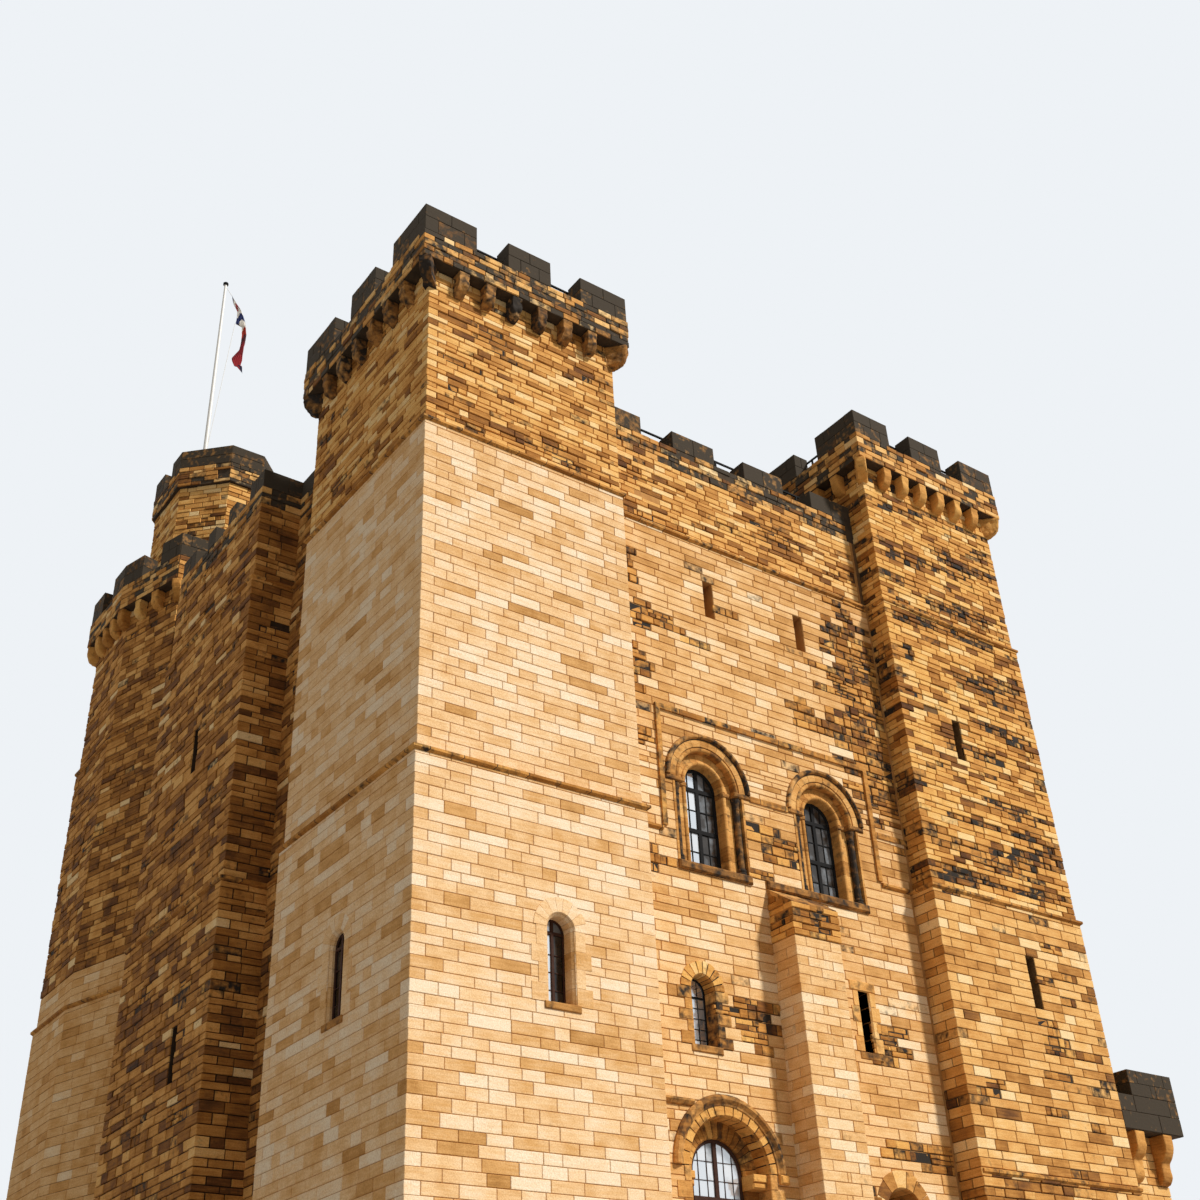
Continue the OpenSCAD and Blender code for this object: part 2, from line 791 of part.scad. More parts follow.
module window_glass() {
    color("lightblue") {
        y0 = south_face + glass_d;
        for (x = hall_xs) arch_y(x, inner_order_r, hall_sill_z, hall_spring_z, y0, y0 + glass_t);
        arch_y(low_x, low_inner_r, low_sill_z, low_spring_z, y0, y0 + glass_t);
        arch_y(small_x, small_r, small_sill_z, small_spring_z, y0, y0 + glass_t);
        arch_y(postern_x, postern_r, postern_sill_z, postern_spring_z, y0, y0 + glass_t);
        arch_y(sw_window_x, small_r, sw_sill_z, sw_spring_z,
               y_s + sw_glass_d, y_s + sw_glass_d + glass_t);
        arch_x(sw_window_y, small_r, sw_sill_z, sw_spring_z,
               x_w + sw_glass_d, x_w + sw_glass_d + glass_t);
        x1 = x_e - recess - setback - glass_d;
        for (y = east_window_ys)
            arch_x(y, inner_order_r, hall_sill_z, hall_spring_z, x1 - glass_t, x1);
    }
}

// Corbel tables

// Side view of a tower corbel: a quarter round under a square head
module corbel_profile(out, h) {
    intersection() {
        translate([0, out]) circle(r = out);
        square([out, out]);
    }
    translate([0, out]) square([out, h - out]);
}

// A corbel that stands out of the wall to the right of the way d, at point p
module corbel_at(p, d, out, h, w, z, back = 0) {
    translate([p[0], p[1], z]) rotate([0, 0, atan2(d[1], d[0]) - 90])
        translate([-w / 2, 0, 0]) rotate([90, 0, 90]) linear_extrude(w) {
            corbel_profile(out, h);
            if (back > 0) translate([-back, 0]) square([back + eps, h]);
        }
}

// How far the tails of the corner corbels reach back before they are cut to the corner
corbel_tail = 300;

module corbels(plan) {
    n = len(plan);
    for (i = [0:n - 1]) {
        a = plan[i];
        b = plan[(i + 1) % n];
        side = norm(b - a);
        count = max(0, round(side / corbel_gap) - 1);
        for (k = [1:1:count])
            corbel_at(a + (b - a) * k / (count + 1), right_of(a, b), overhang, corbel_h,
                      corbel_w, corbel_z);
        m = mitre(right_of(plan[(i + n - 1) % n], a), right_of(a, b));
        difference() {
            corbel_at(a, m, overhang * norm(m), corbel_h, corbel_w, corbel_z, corbel_tail);
            slab(plan, corbel_z - eps, parapet_z + eps);
        }
    }
}

module sw_corbels() { color("peru") corbels(inset(sw_plan, top_in)); }
module se_corbels() { color("peru") corbels(inset(se_plan, top_in)); }
module ne_corbels() { color("peru") corbels(inset(ne_plan, top_in)); }
module nw_corbels() { color("peru") corbels(inset(nw_plan, top_in)); }

// Parapets

// Crenels along the side from a to b: two on a long side, one on a short one
module crenels(a, b, z0, z1, depth) {
    side = norm(b - a);
    d = b - a;
    gap = (merlon_w + crenel_w) / 2;
    one = crenel_w + 2 * corner_merlon_w;
    two = one + merlon_w + crenel_w;
    places = side >= two ? [-gap, gap] : side >= one ? [0] : [];
    for (p = places)
        translate([(a + b)[0] / 2, (a + b)[1] / 2, 0]) rotate([0, 0, atan2(d[1], d[0])])
            block(p - crenel_w / 2, -eps, z0, p + crenel_w / 2, depth + eps, z1);
}

module tower_parapet(plan) {
    outer = inset(plan, top_in - overhang);
    n = len(outer);
    difference() {
        ring(outer, parapet_t, parapet_z, tower_top_z);
        for (i = [0:n - 1])
            crenels(outer[i], outer[(i + 1) % n], tower_sill_z, tower_top_z + eps, parapet_t);
    }
}

module sw_parapet() { color("dimgray") tower_parapet(sw_plan); }
module se_parapet() { color("dimgray") tower_parapet(se_plan); }
module ne_parapet() { color("dimgray") tower_parapet(ne_plan); }
module nw_parapet() { color("dimgray") tower_parapet(nw_plan); }

wall_section = [[-parapet_t, 0], [0, 0], [0, wall_top_z - walk_z], [-parapet_t, wall_top_z - walk_z]];

// A parapet on a long wall, flush with its face. crenel_list gives for each crenel the
// middle of its sill on the wall face and the way along the wall.
module wall_parapet(path, crenel_list) {
    difference() {
        run_along(path, wall_section, walk_z);
        for (c = crenel_list)
            translate([c[0], c[1], 0]) rotate([0, 0, c[2]])
                block(-c[3] / 2, -eps, wall_sill_z, c[3] / 2, parapet_t + eps, wall_top_z + eps);
    }
}

// The crenels of the south wall stand a little west of its middle
south_crenel_x = mid_x - 60;

module south_parapet() {
    face = south_face + top_in;
    color("dimgray") wall_parapet(
        [[room_w - top_in, face], [room_e + top_in, face]],
        [for (k = [-1:1]) [south_crenel_x + k * wall_crenel_gap, face, 0, wall_crenel_w]]);
}

// Where the three crenels of a pier lie along it, from its edge
pier_crenels = [for (k = [-1:1]) pier_w / 2 + k * pier_crenel_gap];
west_face = x_w - pier_out + top_in;
north_face = y_n + pier_out - top_in;

module west_parapet() {
    back = x_w + recess + top_in;
    color("dimgray") wall_parapet(
        [[back, room_n + top_in], [back, pier_y1 - top_in], [west_face, pier_y1 - top_in],
         [west_face, pier_y0 + top_in], [back, pier_y0 + top_in], [back, room_s - top_in]],
        [for (p = pier_crenels) [west_face, pier_y0 + p, -90, pier_crenel_w]]);
}

module north_parapet() {
    back = y_n - recess - top_in;
    color("dimgray") wall_parapet(
        [[room_e + top_in, back], [pier_x1 - top_in, back], [pier_x1 - top_in, north_face],
         [pier_x0 + top_in, north_face], [pier_x0 + top_in, back], [nw_e - top_in, back]],
        [for (p = pier_crenels) [pier_x0 + p, north_face, 180, pier_crenel_w]]);
}

module east_parapet() {
    face = x_e - recess - top_in;
    color("dimgray") wall_parapet(
        [[face, room_s - top_in], [face, room_n + top_in]],
        [for (k = [-1:1]) [face, mid_y + k * wall_crenel_gap, 90, wall_crenel_w]]);
}

// Railings

rail_section = [[-rail_t, 0], [0, 0], [0, rail_t], [-rail_t, rail_t]];

// Rails and posts from a to b, on the walk behind a parapet
module railing(a, b, foot, rails) {
    d = b - a;
    count = ceil(norm(d) / post_gap);
    for (z = rails) run_along([a, b], rail_section, z);
    for (k = [0:count]) {
        p = a + d * k / count;
        translate([p[0], p[1], foot]) rotate([0, 0, atan2(d[1], d[0])])
            translate([k == 0 ? 0 : k == count ? -rail_t : -rail_t / 2, 0, 0])
                cube([rail_t, rail_t, rails[len(rails) - 1] + rail_t - foot]);
    }
}

wall_rails = [wall_sill_z - wall_breast_h / 4, wall_sill_z + wall_merlon_h / 2,
              wall_top_z + rail_up];

// Rails behind the parapets of the south and east walls and of the two side piers
module wall_railings() {
    s_y = south_face + top_in + parapet_t;
    e_x = x_e - recess - top_in - parapet_t;
    w_x = west_face + parapet_t;
    n_y = north_face - parapet_t;
    edge = top_in + parapet_t;
    color("black") {
        railing([room_w - top_in, s_y + rail_t], [room_e + top_in, s_y + rail_t],
                walk_z, wall_rails);
        railing([e_x, room_s - top_in], [e_x, room_n + top_in], walk_z, wall_rails);
        railing([w_x + rail_t, pier_y1 - edge], [w_x + rail_t, pier_y0 + edge],
                walk_z, wall_rails);
        railing([pier_x1 - edge, n_y], [pier_x0 + edge, n_y], walk_z, wall_rails);
    }
}

// Two rails behind each side of a tower's parapet, which stop short of its corners
tower_rails = [tower_sill_z + merlon_h / 4, tower_top_z - merlon_h / 6];
rail_end = 100;

module tower_railings() {
    color("black") for (plan = [sw_plan, se_plan, ne_plan]) {
        path = inset(plan, top_in - overhang + parapet_t);
        for (i = [0:3]) {
            a = path[i];
            b = path[(i + 1) % 4];
            end = rail_end * unit(b - a);
            railing(a + end, b - end, parapet_z, tower_rails);
        }
    }
}

// Stair cap, flagpole and flag

cap_in = cap_facet / sqrt(2);
cap_x0 = x_w + cap_x;
cap_y0 = room_n + top_in - overhang + parapet_t;
cap_x1 = cap_x0 + cap_front + 2 * cap_in;
cap_y1 = cap_y0 + cap_side + 2 * cap_in;
cap_plan = [
    [cap_x0 + cap_in, cap_y0], [cap_x1 - cap_in, cap_y0], [cap_x1, cap_y0 + cap_in],
    [cap_x1, cap_y1 - cap_in], [cap_x1 - cap_in, cap_y1], [cap_x0 + cap_in, cap_y1],
    [cap_x0, cap_y1 - cap_in], [cap_x0, cap_y0 + cap_in]
];
cap_top_z = parapet_z + cap_h;
cap_base_z = cap_top_z - cap_parapet_h;
cap_mid_y = (cap_y0 + cap_y1) / 2;

// The cap is open below to the stair shaft, and a doorway leads out onto the tower's deck
module stair_cap() {
    color("burlywood") difference() {
        slab(cap_plan, parapet_z, cap_base_z);
        slab(inset(cap_plan, cap_wall), parapet_z - eps, cap_base_z - floor_t);
        block(cap_x1 - cap_wall - eps, cap_mid_y - cap_door_w / 2, parapet_z - eps,
              cap_x1 + eps, cap_mid_y + cap_door_w / 2, parapet_z + cap_door_h);
    }
}

// One crenel on each long side of the cap
module stair_cap_parapet() {
    color("dimgray") difference() {
        ring(inset(cap_plan, -cap_out), cap_wall, cap_base_z, cap_top_z);
        block(cap_x0 - cap_out - eps, cap_mid_y - cap_crenel_w / 2, cap_top_z - cap_merlon_h,
              cap_x1 + cap_out + eps, cap_mid_y + cap_crenel_w / 2, cap_top_z + eps);
    }
}

pole_x = cap_x0 + pole_in;
pole_y = cap_mid_y - pole_s;
pole_top = cap_base_z + pole_l;
pole_tip_r = 0.6 * pole_r;

module flagpole() {
    color("white") translate([pole_x, pole_y, 0]) {
        translate([0, 0, cap_base_z]) cylinder(r1 = pole_r, r2 = pole_tip_r, h = pole_l);
        translate([0, 0, pole_top]) sphere(r = pole_r);
    }
}

// The limp flag hangs out of the pole's line to the south-east. Its outline is drawn from
// the pole's top, with X away from the pole and Y up.
flag_heading = -37;
flag_t = 80;
flag_tie = [240, -500];
flag_tail = [460, -1740];
flag_outline = [
    flag_tie, [330, -870], [470, -1220], flag_tail, [690, -1910], [720, -2270], [670, -2890],
    [480, -3200], [540, -3560], [590, -3440], [850, -3850], [830, -3300], [810, -2740],
    [870, -2240], [830, -1940], [760, -1660], [600, -1180], [420, -820]
];

module flag() {
    color("firebrick") translate([pole_x, pole_y, pole_top]) rotate([0, 0, flag_heading])
        translate([0, flag_t / 2, 0]) rotate([90, 0, 0]) linear_extrude(flag_t)
            polygon(flag_outline);
}

// A straight length of rope between two points of the flag's plane
module rope(a, b) {
    d = b - a;
    translate([a[0], 0, a[1]]) rotate([0, atan2(d[0], d[1]), 0]) cylinder(r = rope_r, h = norm(d));
}

// The rope runs from the pole's top to the flag, down to its tail and back to the pole
module halyard() {
    color("ivory") translate([pole_x, pole_y, pole_top]) rotate([0, 0, flag_heading])
        difference() {
            union() {
                rope([0, -pole_r], flag_tie - [rope_r, 0]);
                rope(flag_tail - [rope_r, 0], [0, cleat_z - pole_l]);
            }
            translate([0, 0, -pole_l]) cylinder(r1 = pole_r, r2 = pole_tip_r, h = pole_l);
            sphere(r = pole_r);
        }
}

// Forebuilding

fore_plan = [
    [x_e, fore_y0], [fore_x, fore_y0], [fore_x, fore_y1], [x_e - recess, fore_y1],
    [x_e - recess, fore_y1 - fore_wall], [fore_x - fore_wall, fore_y1 - fore_wall],
    [fore_x - fore_wall, fore_y0 + fore_wall], [x_e, fore_y0 + fore_wall]
];
fore_room = [
    [x_e, fore_y0 + fore_wall], [fore_x - fore_wall, fore_y0 + fore_wall],
    [fore_x - fore_wall, fore_y1 - fore_wall], [x_e - recess, fore_y1 - fore_wall],
    [x_e - recess, room_s], [x_e, room_s]
];

module forebuilding_walls() {
    color("burlywood") difference() {
        slab(fore_plan, 0, fore_base_z);
        arch_x(door_y, door_r, ground_floor_z, door_spring_z, fore_x - fore_wall - eps, fore_x + eps);
    }
}

module forebuilding_floor() {
    color("tan") slab(fore_room, 0, ground_floor_z);
}

module forebuilding_deck() {
    color("dimgray") slab(fore_room, fore_base_z - floor_t, fore_base_z);
}

// Side view of a forebuilding corbel: two rolls, the upper one standing out twice as far
module fore_corbel_profile() {
    half = fore_out / 2;
    translate([0, half]) square([half, fore_corbel_h - half]);
    translate([0, fore_corbel_h - half]) square([fore_out, half]);
    intersection() {
        translate([0, half]) circle(r = half);
        square([half, half]);
    }
    intersection() {
        translate([0, fore_corbel_h - half]) circle(r = fore_out);
        translate([0, fore_corbel_h - half - fore_out]) square([fore_out, fore_out]);
    }
}

// Corbels from the corner p along the way d, standing out of the wall to the side out
module fore_corbels_along(p, d, out, side) {
    for (s = [fore_corbel_w / 2:fore_corbel_gap:side - fore_corbel_w])
        translate([(p + s * d)[0], (p + s * d)[1], fore_base_z - fore_corbel_h])
            rotate([0, 0, atan2(out[1], out[0]) - 90]) translate([-fore_corbel_w / 2, 0, 0])
                rotate([90, 0, 90]) linear_extrude(fore_corbel_w) fore_corbel_profile();
}

module forebuilding_corbels() {
    color("peru") {
        fore_corbels_along([fore_x, fore_y0], [-1, 0], [0, -1], fore_w);
        fore_corbels_along([fore_x, fore_y0], [0, 1], [1, 0], fore_l);
        fore_corbels_along([fore_x, fore_y1], [-1, 0], [0, 1], fore_w);
    }
}

fore_parapet_h = fore_top_z - fore_base_z;
fore_parapet_section = [
    [-fore_parapet_t, 0], [0, 0], [0, fore_parapet_h], [-fore_parapet_t, fore_parapet_h]
];

// Merlons alternate with crenels back from the outer corner
module forebuilding_parapet() {
    x1 = fore_x + fore_out;
    ya = fore_y0 - fore_out;
    yb = fore_y1 + fore_out;
    color("dimgray") difference() {
        run_along([[x_e, ya], [x1, ya], [x1, yb], [x_e - recess, yb]],
                  fore_parapet_section, fore_base_z);
        block(x1 - fore_merlon_w - fore_crenel_w, ya - eps, fore_sill_z,
              x1 - fore_merlon_w, yb + eps, fore_top_z + eps);
        for (y = [ya + fore_merlon_w:fore_merlon_w + fore_crenel_w:yb - fore_crenel_w])
            block(x1 - fore_parapet_t - eps, y, fore_sill_z, x1 + eps, y + fore_crenel_w,
                  fore_top_z + eps);
    }
}

ground_floor();
first_floor();
second_floor();
hall_floor();
roof_deck();
tower_decks();
south_plinth();
west_plinth();
north_plinth();
east_plinth();
string_courses();
south_wall();
west_wall_lower();
west_wall_upper();
north_wall();
east_wall_lower();
east_wall_upper();
sw_tower();
se_tower();
ne_tower();
nw_tower();
south_buttress();
west_pier();
north_pier();
hall_window_surrounds();
label_moulding();
low_window_hood();
window_glass();
sw_corbels();
se_corbels();
ne_corbels();
nw_corbels();
sw_parapet();
se_parapet();
ne_parapet();
nw_parapet();
south_parapet();
west_parapet();
north_parapet();
east_parapet();
wall_railings();
tower_railings();
stair_cap();
stair_cap_parapet();
flagpole();
flag();
halyard();
forebuilding_walls();
forebuilding_floor();
forebuilding_deck();
forebuilding_corbels();
forebuilding_parapet();
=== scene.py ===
# The looks of the castle keep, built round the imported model.
# Metres, in the model's own frame: +X east along the south front, +Y north, +Z up.
import math
import random

import bmesh
import bpy
import numpy as np
from mathutils import Matrix, Vector, noise
from mathutils.bvhtree import BVHTree


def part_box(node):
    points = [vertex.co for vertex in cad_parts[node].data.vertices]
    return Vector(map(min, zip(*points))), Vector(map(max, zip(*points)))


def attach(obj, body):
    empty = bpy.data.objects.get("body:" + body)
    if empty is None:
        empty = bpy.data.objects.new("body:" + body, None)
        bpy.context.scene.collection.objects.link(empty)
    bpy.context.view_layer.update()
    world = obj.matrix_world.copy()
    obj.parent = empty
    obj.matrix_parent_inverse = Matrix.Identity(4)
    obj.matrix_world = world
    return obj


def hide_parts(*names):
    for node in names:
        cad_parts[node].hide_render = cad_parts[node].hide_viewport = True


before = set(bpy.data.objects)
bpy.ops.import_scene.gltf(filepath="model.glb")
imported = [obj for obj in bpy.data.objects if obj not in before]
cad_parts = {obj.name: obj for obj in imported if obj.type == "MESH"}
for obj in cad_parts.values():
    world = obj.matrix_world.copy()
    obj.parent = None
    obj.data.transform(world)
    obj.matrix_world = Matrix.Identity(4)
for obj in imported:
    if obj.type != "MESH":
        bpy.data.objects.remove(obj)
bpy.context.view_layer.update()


# Camera, floor and light
# The eye stands south-west of the keep, 1.6 m over the ground, and looks up at its corner.
# The floor is a plain pale sheet, and a low soft sun lights the south front from the right.
def colour(hex_text):
    """A colour written as it looks on a screen, turned into the linear one that shaders take."""
    parts = [int(hex_text[i:i + 2], 16) / 255 for i in (0, 2, 4)]
    return (*[p / 12.92 if p < 0.04 else ((p + 0.055) / 1.055) ** 2.4 for p in parts], 1.0)


def placed(name, data):
    """A new object of the scene with this data."""
    new = bpy.data.objects.new(name, data)
    bpy.context.scene.collection.objects.link(new)
    return new


eye = Vector((-19.46, -28.96, 1.60))
yaw = math.radians(37.413)
pitch = math.radians(32.359)
roll = math.radians(-2.921)
level_right = Vector((math.cos(yaw), -math.sin(yaw), 0))
ahead = Vector((math.sin(yaw) * math.cos(pitch), math.cos(yaw) * math.cos(pitch), math.sin(pitch)))
level_up = level_right.cross(ahead)
camera_right = level_right * math.cos(roll) + level_up * math.sin(roll)
camera_up = level_up * math.cos(roll) - level_right * math.sin(roll)
camera = placed("camera", bpy.data.cameras.new("camera"))
camera.matrix_world = (Matrix.Translation(eye)
                       @ Matrix((camera_right, camera_up, -ahead)).transposed().to_4x4())
camera.data.sensor_width = 36
camera.data.lens = 44.65
camera.data.clip_end = 600
bpy.context.scene.camera = camera
bpy.context.scene.view_settings.view_transform = "Standard"

sun = placed("sun", bpy.data.lights.new("sun", "SUN"))
sun.data.energy = 4.1
sun.data.angle = math.radians(6)
sun.data.color = (1.0, 0.98, 0.95)
sun_bearing = math.radians(32)
sun_height = math.radians(42)
to_sun = Vector((math.sin(sun_bearing) * math.cos(sun_height),
                 -math.cos(sun_bearing) * math.cos(sun_height), math.sin(sun_height)))
sun.matrix_world = to_sun.to_track_quat("Z", "Y").to_matrix().to_4x4()


def seen_directly(tree):
    """The sum of the light path's camera, glossy and transmission outputs."""
    path = tree.nodes.new("ShaderNodeLightPath")
    total = path.outputs["Is Camera Ray"]
    for name in ("Is Glossy Ray", "Is Transmission Ray"):
        add = tree.nodes.new("ShaderNodeMath")
        add.operation = "ADD"
        add.use_clamp = True
        tree.links.new(total, add.inputs[0])
        tree.links.new(path.outputs[name], add.inputs[1])
        total = add.outputs[0]
    return total


world = bpy.data.worlds.new("sky")
bpy.context.scene.world = world
world.use_nodes = True
sky = world.node_tree
sky.nodes.clear()
fill = sky.nodes.new("ShaderNodeBackground")
fill.inputs["Color"].default_value = (1.0, 0.95, 0.88, 1.0)
fill.inputs["Strength"].default_value = 0.36
backdrop = sky.nodes.new("ShaderNodeBackground")
backdrop.inputs["Color"].default_value = colour("eef2f6")
choose = sky.nodes.new("ShaderNodeMixShader")
sky_out = sky.nodes.new("ShaderNodeOutputWorld")
sky.links.new(seen_directly(sky), choose.inputs[0])
sky.links.new(fill.outputs[0], choose.inputs[1])
sky.links.new(backdrop.outputs[0], choose.inputs[2])
sky.links.new(choose.outputs[0], sky_out.inputs["Surface"])

floor_half = 250
floor_mesh = bpy.data.meshes.new("floor")
floor_mesh.from_pydata([(-floor_half, -floor_half, 0), (floor_half, -floor_half, 0),
                        (floor_half, floor_half, 0), (-floor_half, floor_half, 0)],
                       [], [(0, 1, 2, 3)])
floor = placed("floor", floor_mesh)
floor_paint = bpy.data.materials.new("floor")
floor_paint.use_nodes = True
floor_tree = floor_paint.node_tree
floor_mix = floor_tree.nodes.new("ShaderNodeMix")
floor_mix.data_type = "RGBA"
floor_mix.inputs["A"].default_value = (0.30, 0.29, 0.28, 1)
floor_mix.inputs["B"].default_value = (0.80, 0.80, 0.79, 1)
floor_tree.links.new(seen_directly(floor_tree), floor_mix.inputs["Factor"])
floor_tree.links.new(floor_mix.outputs["Result"],
                     floor_tree.nodes["Principled BSDF"].inputs["Base Color"])
floor_tree.nodes["Principled BSDF"].inputs["Roughness"].default_value = 0.9
floor_mesh.materials.append(floor_paint)


# Masonry
# Every wall is faced with sandstone blocks in level courses, each block a little proud of the
# mortar bed behind it. Bed joints run round a tower at one height, and corner blocks lie with
# their long sides to one face and the other in turn.
def upright_faces(names, facing):
    """The upright planes of CAD nodes: outward normal, distance from the origin, the
    direction along the wall, and the triangles as (along, up) pairs."""
    found = {}
    for name in names:
        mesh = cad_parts[name].data
        for polygon in mesh.polygons:
            n = polygon.normal
            if abs(n.z) > 0.01 or polygon.area < 1e-5:
                continue
            if facing and max(n.x * f[0] + n.y * f[1] for f in facing) < 0.9:
                continue
            points = [mesh.vertices[i].co for i in polygon.vertices]
            bearing = round(math.degrees(math.atan2(n.y, n.x)), 1) % 360
            away = n.x * points[0].x + n.y * points[0].y
            key = (bearing, round(away, 2))
            entry = found.setdefault(key, {"normal": Vector((n.x, n.y, 0)).normalized(),
                                           "away": away, "triangles": []})
            along = (-n.y, n.x)
            entry["triangles"].append([(p.x * along[0] + p.y * along[1], p.z) for p in points])
    for entry in found.values():
        n = entry["normal"]
        entry["along"] = Vector((-n.y, n.x, 0))
        entry["triangles"] = np.array(entry["triangles"])
    return list(found.values())


def joined(spans, gap=0.004):
    """Spans sorted, with those that touch made one."""
    result = []
    for low, high in sorted(spans):
        if result and low <= result[-1][1] + gap:
            result[-1][1] = max(result[-1][1], high)
        else:
            result.append([low, high])
    return result


def common(first, second):
    """The lengths that two lists of spans share."""
    shared = []
    for a, b in first:
        for c, d in second:
            if min(b, d) - max(a, c) > 0.01:
                shared.append([max(a, c), min(b, d)])
    return shared


def spans_at(face, z):
    """Where a level line at height z crosses the face."""
    start = face["triangles"]
    stop = np.roll(start, -1, axis=1)
    crossing = (start[..., 1] - z) * (stop[..., 1] - z) < 0
    rise = np.where(crossing, stop[..., 1] - start[..., 1], 1)
    u = start[..., 0] + (z - start[..., 1]) / rise * (stop[..., 0] - start[..., 0])
    whole = crossing.sum(axis=1) == 2
    low = np.where(crossing, u, np.inf).min(axis=1)[whole]
    high = np.where(crossing, u, -np.inf).max(axis=1)[whole]
    return joined(zip(low.tolist(), high.tolist()))


def course_spans(face, z0, z1):
    """Where the face is unbroken over the whole height of a course."""
    spans = None
    for share in (0.04, 0.27, 0.5, 0.73, 0.96):
        here = spans_at(face, z0 + (z1 - z0) * share)
        spans = here if spans is None else common(spans, here)
    return spans


def bed_joints(faces, styles, rng):
    """Heights of the bed joints: one at each set-off, sill and head, and even courses between."""
    fixed = [foot for foot, style in styles[1:]]
    for face in faces:
        start = face["triangles"]
        stop = np.roll(start, -1, axis=1)
        level = ((abs(start[..., 1] - stop[..., 1]) < 1e-4)
                 & (abs(start[..., 0] - stop[..., 0]) > 0.25))
        fixed += start[..., 1][level].tolist()
    kept = []
    for z in sorted(fixed):
        if not kept or z - kept[-1] > 0.09:
            kept.append(z)
    beds = []
    for z0, z1 in zip(kept, kept[1:]):
        style = style_at(styles, (z0 + z1) / 2)
        count = max(1, round((z1 - z0) / style["course"]))
        weights = [rng.uniform(1 - style["uneven"], 1 + style["uneven"]) for _ in range(count)]
        z = z0
        for weight in weights:
            top = z + (z1 - z0) * weight / sum(weights)
            beds.append((z, top))
            z = top
    return beds


def style_at(styles, z):
    """The kind of masonry at height z, from a list of (foot, style)."""
    chosen = styles[0][1]
    for foot, style in styles:
        if z >= foot:
            chosen = style
    return chosen


def solid_tree(endings):
    """A search tree of the CAD solids whose names have these endings."""
    vertices = []
    polygons = []
    for name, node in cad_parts.items():
        if not name.endswith(endings):
            continue
        base = len(vertices)
        vertices += [v.co.copy() for v in node.data.vertices]
        polygons += [[base + i for i in p.vertices] for p in node.data.polygons]
    return BVHTree.FromPolygons(vertices, polygons)


masses = solid_tree(("wall", "lower", "upper", "tower", "pier", "buttress", "plinth", "walls",
                     "cap", "deck", "decks", "floor", "parapet"))
skyward = Vector((0, 0, 1))


def in_open_air(point, normal, reach):
    """True where a stone on the face at this point would be seen from outdoors."""
    near = point + normal * 0.03
    if masses.ray_cast(near, normal, reach)[0] is not None:
        return False
    beside = point + normal * min(reach, 0.6)
    return masses.ray_cast(beside, skyward, 60)[0] is None


def seen_spans(face, a, b, z, reach):
    """The parts of a span that aren't covered by other masonry, a little way into the cover."""
    count = max(2, math.ceil((b - a) / 0.18))
    flags = []
    for i in range(count):
        u = a + (b - a) * (i + 0.5) / count
        point = face["normal"] * face["away"] + face["along"] * u
        point.z = z
        flags.append(in_open_air(point, face["normal"], reach))
    step = (b - a) / count
    spans = []
    for i, flag in enumerate(flags):
        if flag:
            low = a + step * i - (step / 2 if i and not flags[i - 1] else 0)
            high = a + step * (i + 1) + (step / 2 if i < count - 1 and not flags[i + 1] else 0)
            spans.append((low, high))
    return joined(spans, 0.02)


def corner_at(faces, course, index, point, inward):
    """The face that meets this one in an outward corner at the point, with the turn between."""
    for other, spans in course:
        if other == index:
            continue
        face = faces[other]
        if inward.dot(face["normal"]) > -0.05:
            continue
        if abs(point.dot(face["normal"]) - face["away"]) > 0.02:
            continue
        u = point.dot(face["along"])
        if any(abs(u - a) < 0.02 or abs(u - b) < 0.02 for a, b in spans):
            turn = faces[index]["normal"].angle(face["normal"])
            return other, turn
    return None


def cut_lengths(length, style, rng):
    """Lengths of the blocks that fill a stretch of a course."""
    low, high = style["length"]
    count = max(1, round(length / ((low + high) / 2)))
    weights = [rng.uniform(low, high) for _ in range(count)]
    return [length * w / sum(weights) for w in weights]


def lay_stones(names, styles, seed, facing=(), reach=1.3):
    """Lays stones on the faces of CAD nodes, and gives them as lists for stone_points."""
    rng = random.Random(seed)
    faces = upright_faces(names, facing)
    stones = []
    for number, (z0, z1) in enumerate(bed_joints(faces, styles, rng)):
        style = style_at(styles, (z0 + z1) / 2)
        course = [(i, course_spans(face, z0, z1)) for i, face in enumerate(faces)]
        for index, spans in course:
            for a, b in spans:
                stones += lay_span(faces, course, index, a, b, z0, z1, number, style, rng, reach)
    return stones


